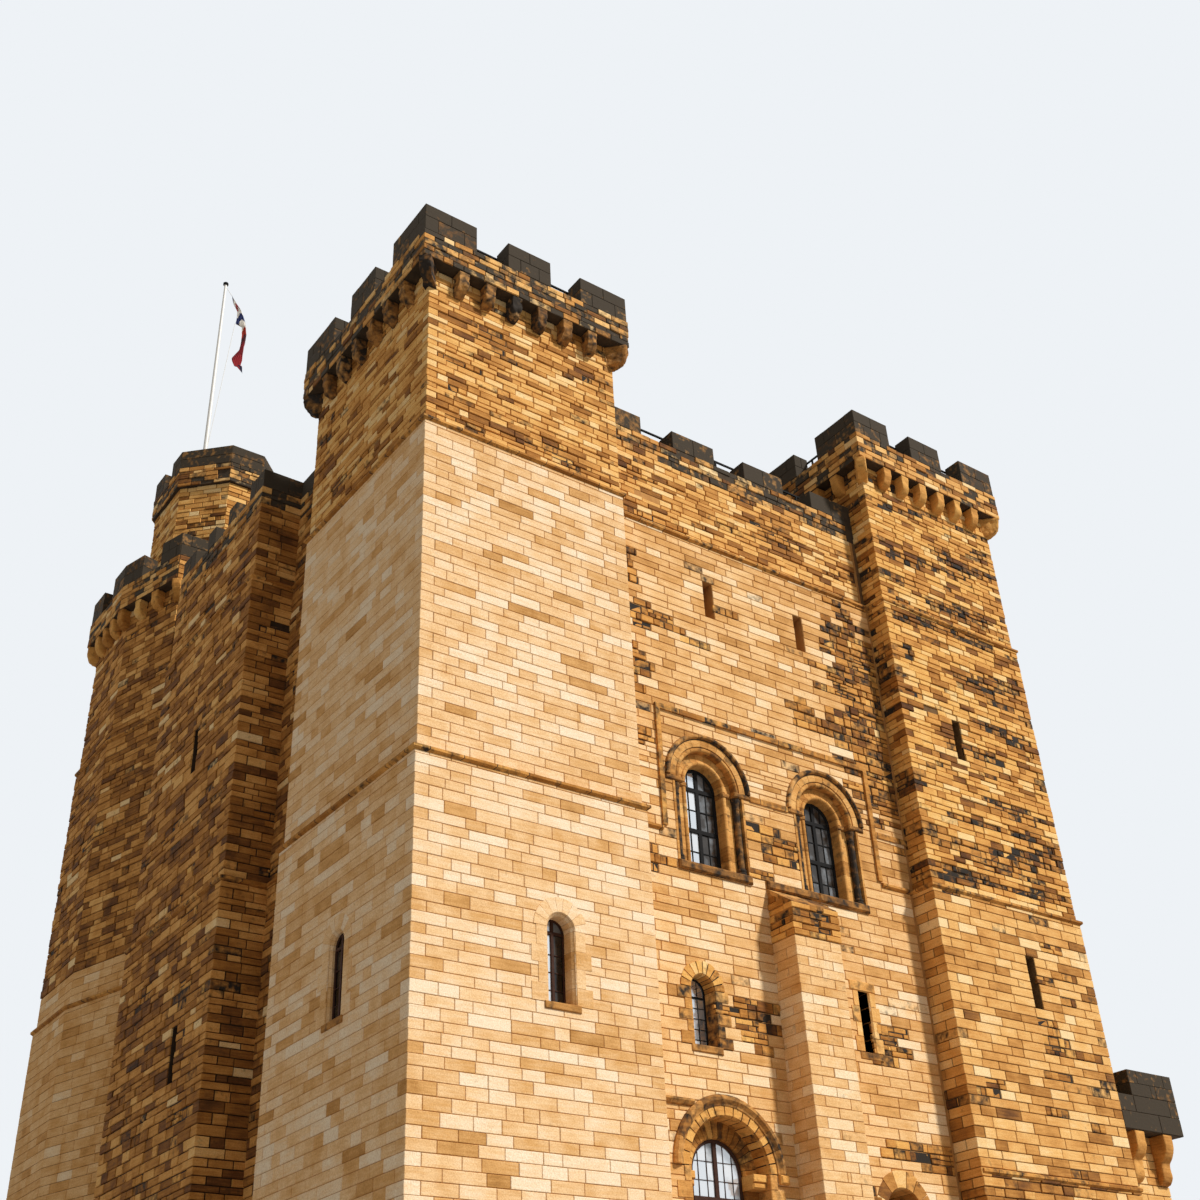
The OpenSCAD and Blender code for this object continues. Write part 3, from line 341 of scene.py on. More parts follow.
def lay_span(faces, course, index, a, b, z0, z1, number, style, rng, reach):
    """Lays one unbroken stretch of a course, corner blocks first."""
    face = faces[index]
    normal = face["normal"]
    along = face["along"]
    middle = (z0 + z1) / 2
    stones = []
    for low, high in seen_spans(face, a, b, middle, reach):
        ends = []
        for u, side in ((low, 1), (high, -1)):
            whole = abs(u - (a if side == 1 else b)) < 1e-6
            found = None
            if whole:
                edge = normal * face["away"] + along * u
                found = corner_at(faces, course, index, edge, along * side)
                beyond = edge - normal * 0.15 + Vector((0, 0, middle))
                if (found and found[1] > math.radians(60)
                        and not in_open_air(beyond, faces[found[0]]["normal"], reach)):
                    found = None
            ends.append(found)
        pieces = []
        start = low
        stop = high
        for found, side in zip(ends, (1, -1)):
            if found is None:
                continue
            turn = found[1]
            if turn < math.radians(60):
                push = style["proud"][1] * math.tan(turn / 2)
                if side == 1:
                    start -= push
                else:
                    stop += push
                continue
            owner = (abs(normal.y) > abs(normal.x)) == (number % 2 == 0)
            if owner:
                long = min(style["corner"][0] * rng.uniform(0.85, 1.15), (high - low) / 2
                           if ends[0] and ends[1] else high - low)
                if side == 1:
                    pieces.append((low - style["proud"][1], low + long, True))
                    start = low + long
                else:
                    pieces.append((high - long, high + style["proud"][1], True))
                    stop = high - long
            elif side == 1:
                start = low + style["corner"][1]
            else:
                stop = high - style["corner"][1]
        if stop - start > 0.03:
            u = start
            for length in cut_lengths(stop - start, style, rng):
                pieces.append((u, u + length, False))
                u += length
        for u0, u1, corner in pieces:
            proud = style["proud"][1] if corner else rng.uniform(*style["proud"])
            buried = style["corner"][1] - style["joint"] if corner else 0.03
            centre = normal * (face["away"] - buried) + along * ((u0 + u1) / 2)
            centre.z = middle
            size = (u1 - u0 - style["joint"], proud + buried, z1 - z0 - style["joint"])
            if min(size) < 0.015:
                continue
            stones.append({"centre": centre, "size": size, "normal": normal, "style": style,
                           "corner": corner, "joint": style["joint"],
                           "front": normal * face["away"] + along * ((u0 + u1) / 2)
                           + Vector((0, 0, middle))})
    return stones


def unit_block():
    """A block one metre each way with its back at y = 0 and its face at y = -1. Each vertex
    holds which way a chamfer moves it and how freely it wears."""
    bm = bmesh.new()
    chamfer = bm.verts.layers.float_vector.new("chamfer_way")
    wear = bm.verts.layers.float.new("wear")

    def ring(y, way_y, inset, wearing):
        """The outline of the block at depth y, anticlockwise seen from the front."""
        loop = []
        for x, z in ((-0.5, -0.5), (0.5, -0.5), (0.5, 0.5), (-0.5, 0.5)):
            vert = bm.verts.new((x, y, z))
            vert[chamfer] = Vector((-2 * x * inset, way_y, -2 * z * inset))
            vert[wear] = wearing
            loop.append(vert)
        return loop

    back = ring(0, 0, 0, 0)
    edge = ring(-1, 1, 0, 0.4)
    face = ring(-1, 0, 1, 1)
    bm.faces.new(list(reversed(back)))
    for near, far in ((edge, back), (face, edge)):
        for i in range(4):
            j = (i + 1) % 4
            bm.faces.new((near[j], near[i], far[i], far[j]))
    bm.faces.new(face)
    bmesh.ops.recalc_face_normals(bm, faces=bm.faces)
    mesh = bpy.data.meshes.new("stone_block")
    bm.to_mesh(mesh)
    bm.free()
    return placed("stone_block", mesh)


stone_block = unit_block()


def coursed_masonry_tree():
    """Geometry nodes that set a block on every point and dress it: chamfer, wear, material."""
    tree = bpy.data.node_groups.new("coursed_masonry", "GeometryNodeTree")
    sockets = tree.interface
    sockets.new_socket("Geometry", in_out="INPUT", socket_type="NodeSocketGeometry")
    sockets.new_socket("Block", in_out="INPUT", socket_type="NodeSocketObject")
    sockets.new_socket("Chamfer", in_out="INPUT", socket_type="NodeSocketFloat")
    sockets.new_socket("Wear scale", in_out="INPUT", socket_type="NodeSocketFloat")
    sockets.new_socket("Material", in_out="INPUT", socket_type="NodeSocketMaterial")
    sockets.new_socket("Geometry", in_out="OUTPUT", socket_type="NodeSocketGeometry")
    nodes = tree.nodes
    link = tree.links.new
    given = nodes.new("NodeGroupInput")
    result = nodes.new("NodeGroupOutput")

    def attribute(name, kind):
        node = nodes.new("GeometryNodeInputNamedAttribute")
        node.data_type = kind
        node.inputs["Name"].default_value = name
        return node.outputs["Attribute"]

    def scaled(vector, factor):
        node = nodes.new("ShaderNodeVectorMath")
        node.operation = "SCALE"
        link(vector, node.inputs[0])
        link(factor, node.inputs["Scale"])
        return node.outputs[0]

    source = nodes.new("GeometryNodeObjectInfo")
    link(given.outputs["Block"], source.inputs["Object"])
    turn = nodes.new("ShaderNodeCombineXYZ")
    link(attribute("turn", "FLOAT"), turn.inputs["Z"])
    turned = nodes.new("FunctionNodeEulerToRotation")
    link(turn.outputs[0], turned.inputs[0])
    place = nodes.new("GeometryNodeInstanceOnPoints")
    link(given.outputs["Geometry"], place.inputs["Points"])
    link(source.outputs["Geometry"], place.inputs["Instance"])
    link(turned.outputs[0], place.inputs["Rotation"])
    link(attribute("size", "FLOAT_VECTOR"), place.inputs["Scale"])
    realize = nodes.new("GeometryNodeRealizeInstances")
    link(place.outputs["Instances"], realize.inputs["Geometry"])

    bevel = nodes.new("GeometryNodeSetPosition")
    around = nodes.new("ShaderNodeVectorRotate")
    around.rotation_type = "Z_AXIS"
    link(scaled(attribute("chamfer_way", "FLOAT_VECTOR"), given.outputs["Chamfer"]),
         around.inputs["Vector"])
    link(attribute("turn", "FLOAT"), around.inputs["Angle"])
    link(realize.outputs[0], bevel.inputs["Geometry"])
    link(around.outputs[0], bevel.inputs["Offset"])

    wearing = nodes.new("GeometryNodeSetPosition")
    grain = nodes.new("ShaderNodeTexNoise")
    grain.inputs["Detail"].default_value = 3.0
    link(given.outputs["Wear scale"], grain.inputs["Scale"])
    centred = nodes.new("ShaderNodeVectorMath")
    centred.operation = "SUBTRACT"
    centred.inputs[1].default_value = (0.5, 0.5, 0.5)
    link(grain.outputs["Color"], centred.inputs[0])
    depth = nodes.new("ShaderNodeMath")
    depth.operation = "MULTIPLY"
    link(attribute("wear", "FLOAT"), depth.inputs[0])
    link(attribute("rough", "FLOAT"), depth.inputs[1])
    link(scaled(centred.outputs[0], depth.outputs[0]), wearing.inputs["Offset"])
    link(bevel.outputs[0], wearing.inputs["Geometry"])

    finish = nodes.new("GeometryNodeSetMaterial")
    link(wearing.outputs[0], finish.inputs["Geometry"])
    link(given.outputs["Material"], finish.inputs["Material"])
    link(finish.outputs[0], result.inputs[0])
    return tree


coursed_masonry = coursed_masonry_tree()


def set_inputs(modifier, **values):
    """Sets a geometry nodes modifier's inputs, found by name and set by identifier."""
    for item in modifier.node_group.interface.items_tree:
        key = item.name.lower().replace(" ", "_")
        if item.item_type == "SOCKET" and item.in_out == "INPUT" and key in values:
            modifier[item.identifier] = values[key]


def made_plain(source, name, drop=()):
    """A new object with the source's evaluated mesh, without the attributes in drop."""
    evaluated = source.evaluated_get(bpy.context.evaluated_depsgraph_get())
    mesh = bpy.data.meshes.new_from_object(evaluated)
    mesh.name = name
    for attribute_name in drop:
        if attribute_name in mesh.attributes:
            mesh.attributes.remove(mesh.attributes[attribute_name])
    bpy.data.objects.remove(source)
    return placed(name, mesh)


def stone_points(name, stones):
    """A mesh of one vertex for each stone, with its size, turn, tone, soot and roughness."""
    mesh = bpy.data.meshes.new(name + "_points")
    mesh.from_pydata([s["centre"] for s in stones], [], [])
    sizes = mesh.attributes.new("size", "FLOAT_VECTOR", "POINT")
    sizes.data.foreach_set("vector", [c for s in stones for c in s["size"]])
    turns = [math.atan2(s["normal"].x, -s["normal"].y) for s in stones]
    columns = (("turn", turns), *[(key, [s[key] for s in stones])
                                  for key in ("tone", "soot", "age", "rough")])
    for label, values in columns:
        mesh.attributes.new(label, "FLOAT", "POINT").data.foreach_set("value", values)
    return placed(name + "_points", mesh)


def build_masonry(name, stones, material):
    """Turns laid stones into one plain piece, with arrises 8 mm wide."""
    points = stone_points(name, stones)
    modifier = points.modifiers.new("masonry", "NODES")
    modifier.node_group = coursed_masonry
    set_inputs(modifier, block=stone_block, chamfer=0.008, wear_scale=5.0, material=material)
    piece = made_plain(points, name, ("size", "turn", "rough", "chamfer_way", "wear"))
    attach(piece, "root")
    return piece


# Sandstone
# The stone is a golden buff sandstone with brown iron bands. It has gone brown, grey and black
# where soot and rain reach it, and the renewed blocks are paler. One material serves all laid
# blocks: each block's own tone and soot come with it.
def new_material(name):
    """A new material, with its node tree and its shader."""
    material = bpy.data.materials.new(name)
    material.use_nodes = True
    return material, material.node_tree, material.node_tree.nodes["Principled BSDF"]


def noise_over(tree, scale, detail, stretch=(1, 1, 1)):
    """Noise that lies still on the piece, stretched along its axes."""
    mapping = tree.nodes.new("ShaderNodeMapping")
    mapping.inputs["Scale"].default_value = stretch
    tree.links.new(tree.nodes.new("ShaderNodeTexCoord").outputs["Object"],
                   mapping.inputs["Vector"])
    texture = tree.nodes.new("ShaderNodeTexNoise")
    texture.inputs["Scale"].default_value = scale
    texture.inputs["Detail"].default_value = detail
    tree.links.new(mapping.outputs[0], texture.inputs["Vector"])
    return texture.outputs["Fac"]


def own_value(tree, label):
    """What the mesh's attribute of this name says at each point."""
    node = tree.nodes.new("ShaderNodeAttribute")
    node.attribute_name = label
    return node.outputs["Fac"]


def colour_at(tree, factor, colours, interpolation="LINEAR"):
    """The colour at the factor along a row of (position, colour) pairs."""
    ramp = tree.nodes.new("ShaderNodeValToRGB")
    ramp.color_ramp.interpolation = interpolation
    ends = ramp.color_ramp.elements
    for end, (position, hex_text) in zip((ends[0], ends[1]), (colours[0], colours[-1])):
        end.position = position
        end.color = colour(hex_text)
    for position, hex_text in colours[1:-1]:
        ends.new(position).color = colour(hex_text)
    tree.links.new(factor, ramp.inputs["Fac"])
    return ramp.outputs["Color"]


def add_relief(tree, shader, height, strength, distance):
    """Makes the shader's surface rise and fall with a height."""
    relief = tree.nodes.new("ShaderNodeBump")
    relief.inputs["Strength"].default_value = strength
    relief.inputs["Distance"].default_value = distance
    tree.links.new(height, relief.inputs["Height"])
    tree.links.new(relief.outputs[0], shader.inputs["Normal"])


def stone_shader(name, stops, old_stops, soot_colour, joints=None, beds=None, own_tone=0.5,
                 own_soot=0.0):
    """A sandstone: block tone to colour, then bands, blotches, grain, soot and a rough face.
    With joints, it is marked off into stones of that length about a tone and soot of its own,
    and with beds, an axis and a height, into courses too."""
    material, tree, shader = new_material(name)
    nodes = tree.nodes
    link = tree.links.new

    def spread(value, low, high, to_low, to_high):
        node = nodes.new("ShaderNodeMapRange")
        node.inputs["From Min"].default_value = low
        node.inputs["From Max"].default_value = high
        node.inputs["To Min"].default_value = to_low
        node.inputs["To Max"].default_value = to_high
        link(value, node.inputs["Value"])
        return node.outputs["Result"]

    def combined(operation, first, second):
        node = nodes.new("ShaderNodeMath")
        node.operation = operation.removesuffix("_FREE")
        node.use_clamp = operation == "ADD"
        for socket, value in zip(node.inputs, (first, second)):
            if isinstance(value, (int, float)):
                socket.default_value = value
            else:
                link(value, socket)
        return node.outputs[0]

    def mixed(kind, factor, first, second):
        node = nodes.new("ShaderNodeMix")
        node.data_type = "RGBA"
        node.blend_type = kind
        for socket, value in ((node.inputs["Factor"], factor), (node.inputs["A"], first),
                              (node.inputs["B"], second)):
            if isinstance(value, (int, float, tuple)):
                socket.default_value = value
            else:
                link(value, socket)
        return node.outputs["Result"]

    def dark_joint(position, size):
        """Soot in the joints between stones of a size, from a position counted in stones."""
        away = combined("ABSOLUTE", combined("SUBTRACT", combined("FRACT", position, 0), 0.5), 0)
        return spread(away, 0.5 - 0.010 / size, 0.5 - 0.004 / size, 0, 0.8)

    blotch = noise_over(tree, 2.2, 5)
    band = noise_over(tree, 3.0, 6, (0.8, 0.8, 9.0))
    grain = noise_over(tree, 45.0, 6)
    if joints:
        apart = nodes.new("ShaderNodeSeparateXYZ")
        link(nodes.new("ShaderNodeTexCoord").outputs["Object"], apart.inputs[0])
        first = apart.outputs["X"]
        if not beds or beds[0] == "Z":
            first = combined("ADD_FREE", first, apart.outputs["Y"])
        along = combined("MULTIPLY", first, 1 / joints)
        if beds:
            rise = combined("MULTIPLY", apart.outputs[beds[0]], 1 / beds[1])
            row = combined("FLOOR", rise, 0)
            along = combined("ADD_FREE", along, combined("MULTIPLY", row, 0.37))
        stone = combined("FLOOR", along, 0)
        if beds:
            stone = combined("ADD_FREE", stone, combined("MULTIPLY", row, 17.3))
        chance = nodes.new("ShaderNodeTexWhiteNoise")
        chance.noise_dimensions = "1D"
        link(stone, chance.inputs["W"])
        tone = combined("ADD", spread(chance.outputs["Value"], 0, 1, -0.14, 0.14), own_tone)
        soot = combined("ADD", spread(chance.outputs["Value"], 0, 1, own_soot - 0.15,
                                      own_soot + 0.15), dark_joint(along, joints))
        if beds:
            soot = combined("ADD", soot, dark_joint(rise, beds[1]))
    else:
        tone = own_value(tree, "tone")
        soot = own_value(tree, "soot")
    shifted = combined("ADD", tone, spread(blotch, 0.3, 0.7, -0.09, 0.09))
    shifted = combined("ADD", shifted, spread(band, 0.35, 0.65, -0.05, 0.05))
    plain = colour_at(tree, shifted, old_stops)
    if not joints:
        plain = mixed("MIX", own_value(tree, "age"), colour_at(tree, shifted, stops), plain)
    speckled = mixed("MULTIPLY", 1.0, plain,
                     mixed("MIX", spread(grain, 0.35, 0.65, 0, 1), colour("e9e0d6"), (1, 1, 1, 1)))
    edge = noise_over(tree, 7.0, 8)
    black = combined("ADD", soot, spread(edge, 0.3, 0.7, -0.28, 0.28))
    dirty = mixed("MIX", spread(black, 0.30, 0.72, 0, 1), speckled, colour(soot_colour))
    link(dirty, shader.inputs["Base Color"])
    shader.inputs["Roughness"].default_value = 0.92
    shader.inputs["Specular IOR Level"].default_value = 0.25
    pitted = noise_over(tree, 16.0, 8)
    height = combined("ADD", spread(grain, 0, 1, 0, 0.35), spread(pitted, 0, 1, 0, 0.65))
    add_relief(tree, shader, height, 0.35, 0.03)
    return material


renewed_tones = [(0.0, "3a2816"), (0.18, "80592f"), (0.36, "b98749"), (0.55, "dcab6c"),
                 (0.75, "f2cd9b"), (1.0, "f9e6c8")]
old_tones = [(0.0, "2e1c0c"), (0.18, "6e4420"), (0.36, "a8702f"), (0.55, "d79c50"),
             (0.75, "ecb968"), (1.0, "f6d79a")]
sandstone = stone_shader("sandstone", renewed_tones, old_tones, "2a231c")
blackened = stone_shader("blackened_sandstone", renewed_tones, old_tones, "3c3327")


def patches(point, size, cover, seed):
    """From 0 to 1: how deep the point lies in blotches of this size over part of the wall."""
    value = noise.noise(Vector((point.x / size[0] + seed, point.y / size[0] - seed,
                                point.z / size[1] + seed / 2)))
    return min(1.0, max(0.0, (value - cover) * 4))


def broken_up(stone, rng):
    """The small uneven stones left where a block has weathered away, over a near-black plate
    that is painted shade of the deep hollow behind them.
    """
    width, _, height = stone["size"]
    along = Vector((-stone["normal"].y, stone["normal"].x, 0))
    joint = stone["joint"]
    # The first piece is that near-black plate: painted shade of the hollow, seen through the gaps.
    small = [dict(stone, size=(width + joint, 0.034, height + joint), tone=0.1, soot=0.85,
                  rough=0.0)]
    rows = max(1, round(height / rng.uniform(0.10, 0.17)))
    tall = height / rows
    for row in range(rows):
        u = -width / 2 - rng.uniform(0, 0.06)
        while u < width / 2 - 0.05:
            long = min(rng.uniform(0.13, 0.42), width / 2 - u)
            gap = rng.uniform(0.008, 0.028)
            centre = stone["centre"] + along * (u + long / 2)
            centre.z += -height / 2 + tall * (row + 0.5)
            soot = rng.uniform(0.0, stone["style"]["broken_soot"])
            small.append(dict(stone, centre=centre, tone=rng.gauss(0.45, 0.12), soot=soot,
                              size=(long - gap, 0.03 + rng.uniform(0.004, 0.040),
                                    tall - gap * rng.uniform(0.6, 1.1)), rough=0.032, age=1.0))
            u += long
    return small


def finish_stones(stones, seed):
    """Gives each stone its tone, soot, age and roughness from its style and where it lies."""
    rng = random.Random(seed)
    finished = []
    for stone in stones:
        style = stone["style"]
        point = stone["front"]
        tone = rng.gauss(*style["tone"]) + 0.07 * noise.noise(point * 0.3)
        if rng.random() < style["pale"]:
            tone = rng.uniform(0.85, 1.0)
        elif rng.random() < style["brown"]:
            tone = rng.uniform(*style["brown_tone"])
        patch = patches(point, style["patch_size"], style["patch_cover"], style["patch_seed"])
        decayed = rng.random() < patch
        for x, z, half_x, half_z, strength in style["stains"]:
            spot = ((point.x - x) / half_x) ** 2 + ((point.z - z) / half_z) ** 2
            if spot < 1 and rng.random() < strength * (1.3 - spot):
                decayed = True
        soot = style["soot"] * rng.uniform(0.3, 1.7)
        if rng.random() < style["black"] or (decayed and rng.random() < 0.6):
            soot = rng.uniform(*style["blackness"])
        stone["age"] = style["age"]
        if decayed and style["broken"] and not stone["corner"]:
            finished += broken_up(stone, rng)
            continue
        stone["tone"] = min(1.0, max(0.0, tone - 0.15 * patch))
        stone["soot"] = min(1.0, soot)
        stone["rough"] = style["rough"] * (1 + 0.8 * patch + 1.0 * stone["soot"])
        width, depth, height = stone["size"]
        if style["eroded"] and soot > 0.5:
            depth = max(0.012, depth - rng.uniform(0, style["eroded"]))
            stone["size"] = (width, depth, height)
        finished.append(stone)
    return finished


def masonry_style(**changes):
    """A kind of masonry: squared, smooth, pale renewed ashlar, apart from the changes."""
    style = {"course": 0.19, "uneven": 0.14, "length": (0.28, 0.86), "joint": 0.009,
             "proud": (0.012, 0.018), "corner": (0.55, 0.26), "tone": (0.73, 0.085),
             "pale": 0.16, "brown": 0.05, "brown_tone": (0.42, 0.55), "soot": 0.05, "black": 0.0,
             "blackness": (0.3, 0.62), "patch_size": (1.6, 0.5), "patch_cover": 0.9,
             "patch_seed": 3, "broken": False, "broken_soot": 0.5, "rough": 0.0, "eroded": 0.0,
             "age": 0.0, "stains": ()}
    style.update(changes)
    return style


string_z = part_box("label_moulding")[0].z
set_off_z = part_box("string_courses")[1].z
fine = masonry_style()
shaded = masonry_style(course=0.21, tone=(0.64, 0.05), pale=0.02, brown=0.03, age=0.25)
worn = masonry_style(tone=(0.64, 0.10), pale=0.10, brown=0.08, brown_tone=(0.25, 0.45), soot=0.08,
                     black=0.03, rough=0.009, patch_size=(1.5, 0.42), patch_cover=0.30,
                     broken=True, eroded=0.02, proud=(0.014, 0.024), joint=0.016, age=0.75)
narrow = masonry_style(course=0.14, length=(0.20, 0.62), uneven=0.25, joint=0.018,
                       proud=(0.012, 0.042), corner=(0.42, 0.2), tone=(0.64, 0.13), pale=0.07,
                       brown=0.14, brown_tone=(0.22, 0.42), soot=0.08, black=0.04, rough=0.026,
                       patch_size=(1.6, 0.34), patch_cover=0.24, broken=True, eroded=0.03,
                       age=0.9)
crusted = dict(narrow, patch_size=(2.2, 0.40), patch_cover=0.0, patch_seed=8, black=0.06,
               tone=(0.66, 0.11), age=1.0, broken_soot=0.78)
rugged = masonry_style(course=0.165, length=(0.22, 0.7), uneven=0.28, joint=0.022,
                       proud=(0.014, 0.045), corner=(0.5, 0.25), tone=(0.44, 0.12), pale=0.02,
                       brown=0.28, brown_tone=(0.18, 0.35), soot=0.14, black=0.05, rough=0.035,
                       patch_size=(1.2, 0.4), patch_cover=0.42, broken=True, eroded=0.035,
                       age=0.8)
merlon = masonry_style(course=0.36, length=(0.9, 1.6), uneven=0.05, joint=0.007,
                       proud=(0.010, 0.014), corner=(0.7, 0.3), tone=(0.32, 0.08), pale=0.0,
                       brown=0.3, brown_tone=(0.2, 0.4), soot=0.78, black=1.0, rough=0.006,
                       blackness=(0.68, 1.0))
breast = masonry_style(course=0.15, length=(0.2, 0.55), uneven=0.25, joint=0.018,
                       proud=(0.010, 0.036), corner=(0.45, 0.22), tone=(0.58, 0.13), pale=0.03,
                       brown=0.18, brown_tone=(0.15, 0.35), soot=0.30, black=0.48, rough=0.026,
                       blackness=(0.5, 0.95), eroded=0.02, age=0.8)


def face_with_stones(name, nodes, styles, seed, facing=(), reach=1.3, material=sandstone):
    """Lays, weathers and builds the stones of some CAD nodes."""
    stones = finish_stones(lay_stones(nodes, styles, seed, facing, reach), seed)
    return build_masonry(name, stones, material)


# Towers
# Three of the towers are square. The north-west one bulges in facets. Their lower stages were
# refaced in smooth ashlar, and the stages above keep their rough old stone.
face_with_stones("sw_tower_stones", ["sw_tower"], [(0, fine), (set_off_z, narrow)], 11)
face_with_stones("se_tower_stones", ["se_tower"],
                 [(0, rugged), (7.3, worn), (string_z, crusted)], 12)
face_with_stones("ne_tower_stones", ["ne_tower"],
                 [(0, worn), (string_z, narrow)], 13, reach=0.8)
face_with_stones("nw_tower_stones", ["nw_tower"], [(0, shaded), (13.8, rugged)], 14)

# Long walls
# The walls between the towers carry the windows. The south wall is good ashlar below its upper
# set-off, eroded and black in patches, and rough above.
south = ((0, -1),)
west = ((-1, 0),)
north = ((0, 1),)
east = ((1, 0),)
curtain = masonry_style(tone=(0.68, 0.09), pale=0.12, brown=0.06, soot=0.06, black=0.02,
                        rough=0.006, patch_size=(1.1, 0.36), patch_cover=0.52, eroded=0.02,
                        broken=True, proud=(0.012, 0.020), joint=0.014, age=0.3,
                        broken_soot=0.6,
                        stains=((3.4, 17.2, 1.7, 3.4, 0.95), (-3.4, 16.3, 0.7, 0.7, 0.6),
                                (-2.6, 17.6, 1.3, 0.4, 0.6), (1.8, 16.5, 1.3, 0.4, 0.6),
                                (-3.3, 18.6, 0.6, 1.1, 0.5), (-0.1, 13.3, 0.5, 0.7, 0.8),
                                (-3.2, 12.2, 0.5, 0.4, 0.7), (-1.1, 9.5, 0.75, 0.55, 0.9),
                                (2.5, 9.6, 0.7, 0.5, 0.8), (3.0, 7.6, 0.9, 0.45, 0.8),
                                (1.2, 6.6, 0.5, 0.6, 0.8), (-3.4, 14.8, 0.3, 0.25, 0.9),
                                (-3.5, 13.9, 0.2, 0.2, 0.9)))
face_with_stones("south_wall_stones", ["south_wall"], [(0, curtain), (set_off_z, narrow)], 21,
                 facing=south)
face_with_stones("west_wall_stones", ["west_wall_lower", "west_wall_upper"], [(0, rugged)], 22,
                 facing=west)
face_with_stones("north_wall_stones", ["north_wall"], [(0, rugged)], 23,
                 facing=north)
face_with_stones("east_wall_stones", ["east_wall_lower", "east_wall_upper"],
                 [(0, worn), (set_off_z, narrow)], 24, facing=east)

# Piers and buttress
# The side piers are of rough narrow courses with deep joints. The buttress on the south front is
# of plain ashlar bonded into the wall, with older crusted stones in its top courses.
face_with_stones("west_pier_stones", ["west_pier"], [(0, rugged)], 31)
face_with_stones("north_pier_stones", ["north_pier"], [(0, rugged)], 32,
                 reach=0.8)
buttress_head_z = 11.1
face_with_stones("buttress_stones", ["south_buttress"],
                 [(0, dict(fine, age=0.25, soot=0.1)), (buttress_head_z, crusted)], 33)

# Stair cap and forebuilding
# The eight-sided cap closes the stair in the north-west tower, in the same narrow old stone as
# the tower heads. The forebuilding that shelters the door is of eroded ashlar.
face_with_stones("stair_cap_stones", ["stair_cap"], [(0, narrow)], 41)
face_with_stones("forebuilding_stones", ["forebuilding_walls"], [(0, worn)], 42)

# Parapets
# The battlements are soot black on both faces. Their merlons are of big smooth blocks in two or
# three courses, and the breast below the crenels is of narrow eroded stones, golden in places.
for seed, name in enumerate(("sw", "se", "ne", "nw", "south", "west", "north", "east",
                             "forebuilding", "stair_cap"), 50):
    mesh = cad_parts[name + "_parapet"].data
    crenel_z = min(p.center.z for p in mesh.polygons if p.normal.z > 0.99)
    below = {"se": dict(breast, soot=0.15, black=0.28), "nw": dict(breast, soot=0.22, black=0.3),
             "forebuilding": dict(merlon, joint=0.014)}.get(name, breast)
    face_with_stones(name + "_parapet_stones", [name + "_parapet"],
                     [(0, below), (crenel_z, merlon)], seed, reach=0.3,
                     material=blackened)

bpy.data.objects.remove(stone_block)


# Corbels
# Each corbel is one sandstone block with a rounded nose, tailed into the wall below the parapet.
# Rain has worn them all to lumps. The south-west tower's are grey, the others golden.
def connected(bm):
    """The vertices of each separate solid, in the order of the mesh."""
    found = set()
    groups = []
    for first in bm.verts:
        if first in found:
            continue
        found.add(first)
        stack = [first]
        group = []
        while stack:
            vert = stack.pop()
            group.append(vert)
            for edge in vert.link_edges:
                other = edge.other_vert(vert)
                if other not in found:
                    found.add(other)
                    stack.append(other)
        groups.append(group)
    return groups


def weathered_solids(node, wear, tone, soot, age, seed):
    """A CAD node's solids rounded and worn all over, each with its own tone."""
    bm = bmesh.new()
    bm.from_mesh(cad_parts[node].data)
    bmesh.ops.remove_doubles(bm, verts=bm.verts, dist=1e-4)
    mesh = bpy.data.meshes.new(node + "_worn")
    bm.to_mesh(mesh)
    bm.free()
    source = placed(node + "_worn", mesh)
    rounding = source.modifiers.new("rounding", "REMESH")
    rounding.mode = "VOXEL"
    rounding.voxel_size = 0.03
    rounding.use_smooth_shade = True
    softening = source.modifiers.new("softening", "SMOOTH")
    softening.iterations = 3
    piece = made_plain(source, node + "_stones")
    bm = bmesh.new()
    bm.from_mesh(piece.data)
    bm.normal_update()
    layers = [bm.verts.layers.float.new(label) for label in ("tone", "soot", "age")]
    rng = random.Random(seed)
    for group in connected(bm):
        look = (rng.gauss(tone, 0.08), soot * rng.uniform(0.5, 1.4), age)
        top = max(vert.co.z for vert in group)
        for vert in group:
            if vert.co.z < top - 0.06:
                vert.co -= vert.normal * wear * max(0.0, 0.35 + noise.noise(vert.co * 5)
                                                    + 0.4 * noise.noise(vert.co * 13))
            for layer, value in zip(layers, look):
                vert[layer] = value
    bm.to_mesh(piece.data)
    bm.free()
    piece.data.materials.clear()
    piece.data.materials.append(sandstone)
    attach(piece, "root")
    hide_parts(node)


for seed, (name, wear, tone, soot, age) in enumerate((
        ("sw_corbels", 0.045, 0.38, 0.58, 0.3), ("se_corbels", 0.028, 0.56, 0.14, 1.0),
        ("ne_corbels", 0.028, 0.48, 0.22, 0.8), ("nw_corbels", 0.028, 0.52, 0.20, 1.0),
        ("forebuilding_corbels", 0.016, 0.55, 0.16, 0.9)), 61):
    weathered_solids(name, wear, tone, soot, age, seed)


# Hall windows
# The two windows of the hall have a plain inner order with a bead, nook shafts with capitals, an
# arch roll and a hood mould, all cut from sandstone. Each ring is built of separate wedge stones.
def carving():
    """An empty mesh whose vertices hold the tone, soot and age of their stone."""
    bm = bmesh.new()
    for label in ("tone", "soot", "age"):
        bm.verts.layers.float.new(label)
    return bm


def on_wall(x, y, facing):
    """A place on a wall at ground level: its origin, the way to the right and the way out."""
    out = Vector(facing).to_3d()
    return Vector((x, y, 0)), skyward.cross(out), out


